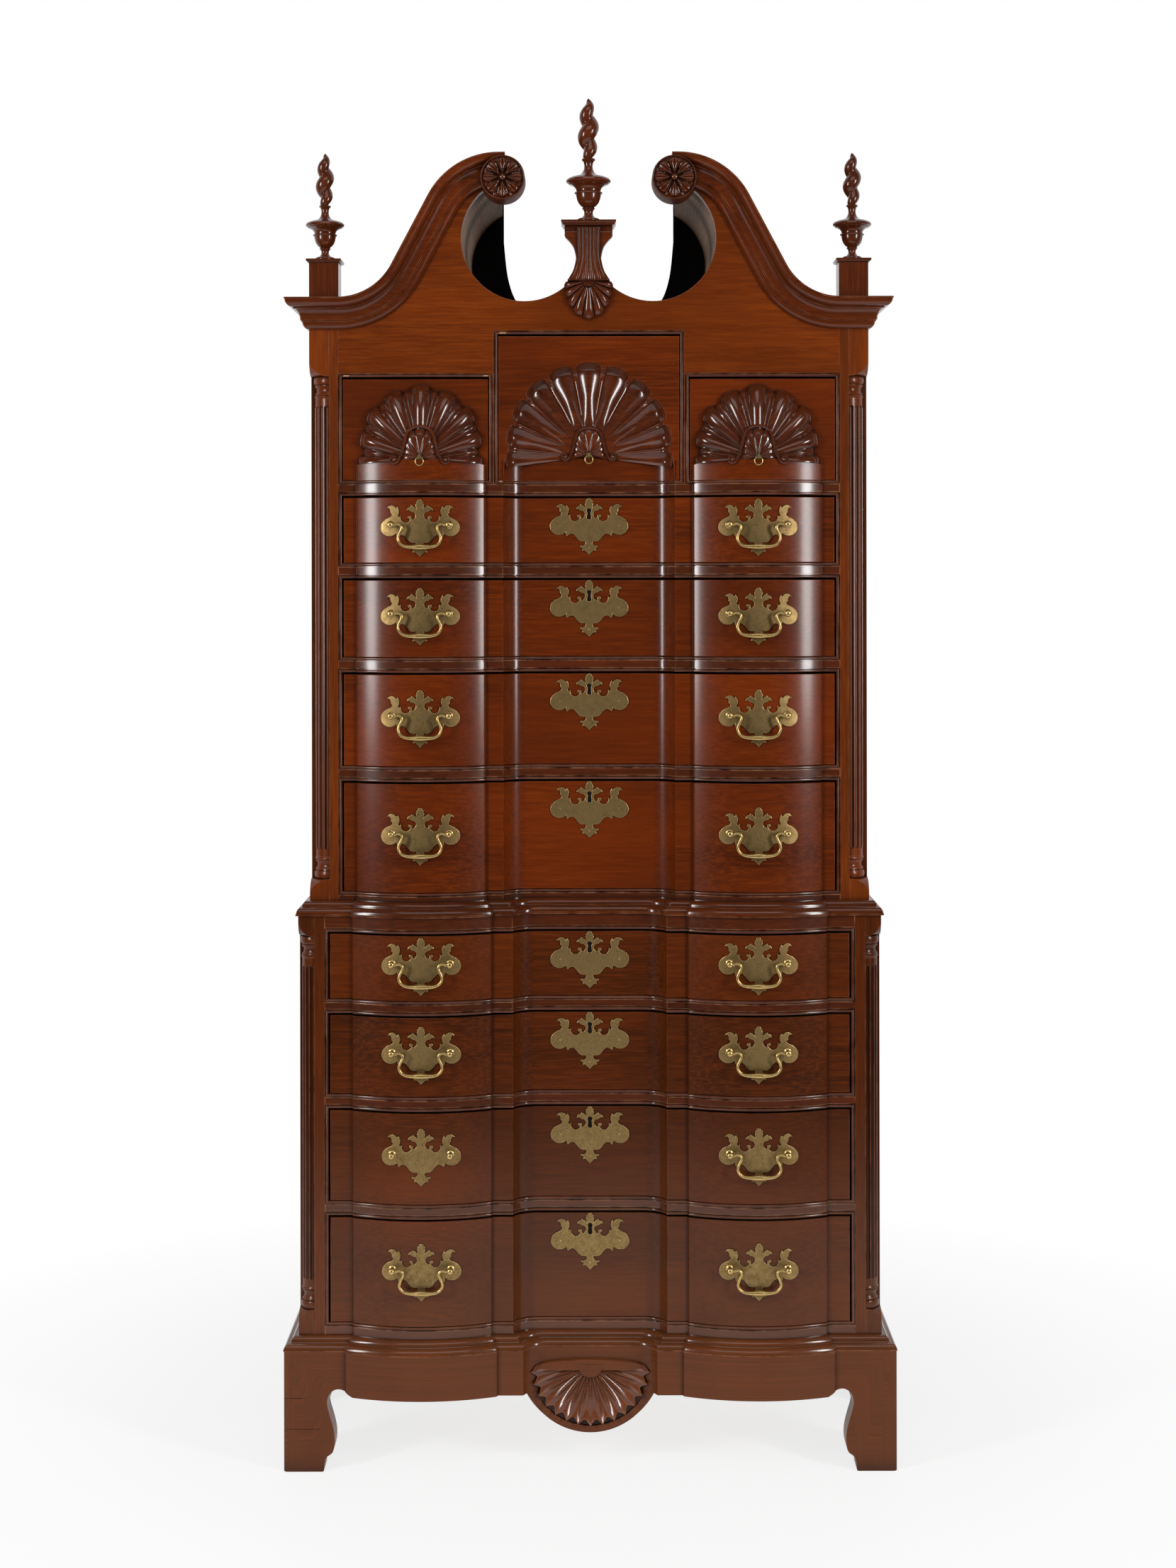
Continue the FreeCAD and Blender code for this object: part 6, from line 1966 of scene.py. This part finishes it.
# %% [markdown]
# ## Wear
# Old damage is small but easy to see: slivers have broken off the beads beside the shells, a
# patch of raw wood shows under the centre shell, and thin cracks run along one foot.

# %% Chips and cracks
def sliver(x0, x1, y, z, thick):
    """A broken edge, thickest in its middle and ragged along its length."""
    count, path = 9, []
    for i in range(count + 1):
        share = i / count
        ragged = 1.0 - 0.35 * ((i * 7) % 3) / 2
        path.append((x0 + (x1 - x0) * share, y, z + 0.3 * ((i * 5) % 3 - 1),
                     0.15 + thick * ragged * math.sin(math.pi * share) ** 0.5))
    return tube(path, 8)


shell_top = shell_open["left"][3] + BEAD_WIDE / 2
left_x0, left_x1 = shell_open["left"][:2]
centre_x0, centre_top = shell_open["centre"][0], shell_open["centre"][3] + BEAD_WIDE / 2
bead_y = UPPER.front - 0.2
chips = [sliver(left_x0 - 1.0, left_x0 + 16.0, bead_y, shell_top, 1.5),
         sliver(left_x1 - 13.0, left_x1 + 1.0, bead_y, shell_top, 1.4),
         sliver(centre_x0 - 1.0, centre_x0 + 19.0, bead_y, centre_top, 1.5),
         sliver(centre_x0 + 2.0, centre_x0 + 9.0, bead_y, shell_open["centre"][2] - 1.4, 1.6)]
make("bead_chips", join(*chips), chip_wood)
crack_y = BASE.front + 0.1
cracks = [sliver(-BASE.half + 2.0, -BASE.half + 66.0, crack_y, 74.0, 0.35),
          sliver(-BASE.half + 2.0, -BASE.half + 40.0, crack_y, 128.0, 0.3)]
make("foot_cracks", join(*cracks), dark_and_shade_wood)
print("chips:", len(chips), "cracks:", len(cracks))

# %% [markdown]
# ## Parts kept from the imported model
# Runners, guides and the lower back are plain boards, right as they are, and so are the small
# eyes of the rings. They only get their wood and their brass.

# %% Finishes for the kept parts
kept = {"lower_back": back_wood, "lower_runners": runner_wood, "upper_runners": runner_wood}
kept.update({f"ring_eye_{side}": bail_brass for side in ("left", "right", "centre")})
for node, finish in kept.items():
    for slot in bpy.data.objects[node].material_slots:
        slot.material = finish
print("kept as packed:", len(kept), "nodes")

# %% [markdown]
# ## Room, camera and lamps
# The photograph is a studio picture: white all round, a large soft box on each side that draws
# the long highlights down the blocks, and a gentle light from the front.

# %% White floor
FLOOR_R = 2400.0
white, tree, shader = new_material("White floor")
away = add(tree, "VectorMath", {0: place_on(tree)}, operation="LENGTH").outputs["Value"]
bounced = add(tree, "LightPath").outputs["Is Diffuse Ray"]
glow = add(tree, "Emission", {"Color": (1, 1, 1, 1),
                              "Strength": ramp(tree, bounced, 0.0, 1.0, 1.0, 0.45)})
feed(tree, shader, {"Base Color": (0.93, 0.93, 0.93, 1), "Roughness": 0.6})
blend = add(tree, "MixShader", {0: ramp(tree, away, 0.7, 1.7, 0.78, 1.0),
                                1: shader.outputs[0], 2: glow.outputs[0]})
feed(tree, tree.nodes["Material Output"], {"Surface": blend.outputs[0]})
edge = [Vector((x, y, 0)) * MM for x, y in arc(0, 0, FLOOR_R, 0, 360, 96)[:-1]]
floor_mesh = bpy.data.meshes.new("floor")
floor_mesh.from_pydata(edge, [], [list(range(len(edge)))])
floor_mesh.materials.append(white)
floor = bpy.data.objects.new("floor", floor_mesh)
scene.collection.objects.link(floor)
print("floor:", 2 * FLOOR_R * MM, "m across")

# %% [markdown]
# ### What the surroundings show
# The world is white to the camera. Metal and polish see it white behind the chest and nearly
# black before it, as in a studio, and it adds only a little light to the wood.

# %% White surroundings
world = bpy.data.worlds.new("Studio")
scene.world = world
world.use_nodes = True
tree = world.node_tree
rays = add(tree, "LightPath").outputs
direction = add(tree, "TexCoord").outputs["Generated"]
ahead = add(tree, "SeparateXYZ", {0: direction}).outputs["Y"]
glossy = times(tree, rays["Is Glossy Ray"], ramp(tree, ahead, -0.1, 0.2, 0.04, 0.9))
level = maths(tree, "MAXIMUM", rays["Is Camera Ray"], rays["Is Transmission Ray"])
for other in (glossy, times(tree, rays["Is Diffuse Ray"], 0.3)):
    level = maths(tree, "MAXIMUM", level, other)
feed(tree, tree.nodes["Background"], {"Color": (1, 1, 1, 1), "Strength": level})
print("surroundings:", len(tree.nodes), "nodes")

# %% [markdown]
# ## Camera
# The lens stands level and square to the front, a little over four and a half metres away, and is
# shifted down, so that upright lines stay upright.

# %% Camera
CAMERA_AWAY, CAMERA_HIGH, CAMERA_TURN = 4596.0, 1555.0, 0.09
lens = bpy.data.cameras.new("camera")
lens.lens, lens.sensor_width = 57.74, 36.0
lens.shift_x, lens.shift_y = -0.0007, -0.1316
camera = bpy.data.objects.new("camera", lens)
camera.location = Vector((0, -CAMERA_AWAY, CAMERA_HIGH)) * MM
camera.rotation_euler = (math.radians(90), math.radians(CAMERA_TURN), 0)
scene.collection.objects.link(camera)
scene.camera = camera
print("camera:", CAMERA_AWAY * MM, "m away,", CAMERA_HIGH * MM, "m high")

# %% Lamps
def soft_box(name, place, aim, wide, high, power):
    lamp = bpy.data.lights.new(name, "AREA")
    lamp.shape, lamp.size, lamp.size_y, lamp.energy = "RECTANGLE", wide, high, power
    holder = bpy.data.objects.new(name, lamp)
    holder.location = place
    holder.rotation_euler = (Vector(aim) - Vector(place)).to_track_quat("-Z", "Y").to_euler()
    scene.collection.objects.link(holder)


for name, x in (("left_box", -2.9), ("right_box", 2.9)):
    soft_box(name, (x, -2.6, 2.0), (0, 0, 1.3), 0.55, 1.7, 84)
soft_box("front_box", (0, -3.6, 4.9), (0, 0, 1.2), 4.0, 2.0, 45)
scene.view_settings.view_transform = "Standard"
print("lamps:", len(bpy.data.lights))
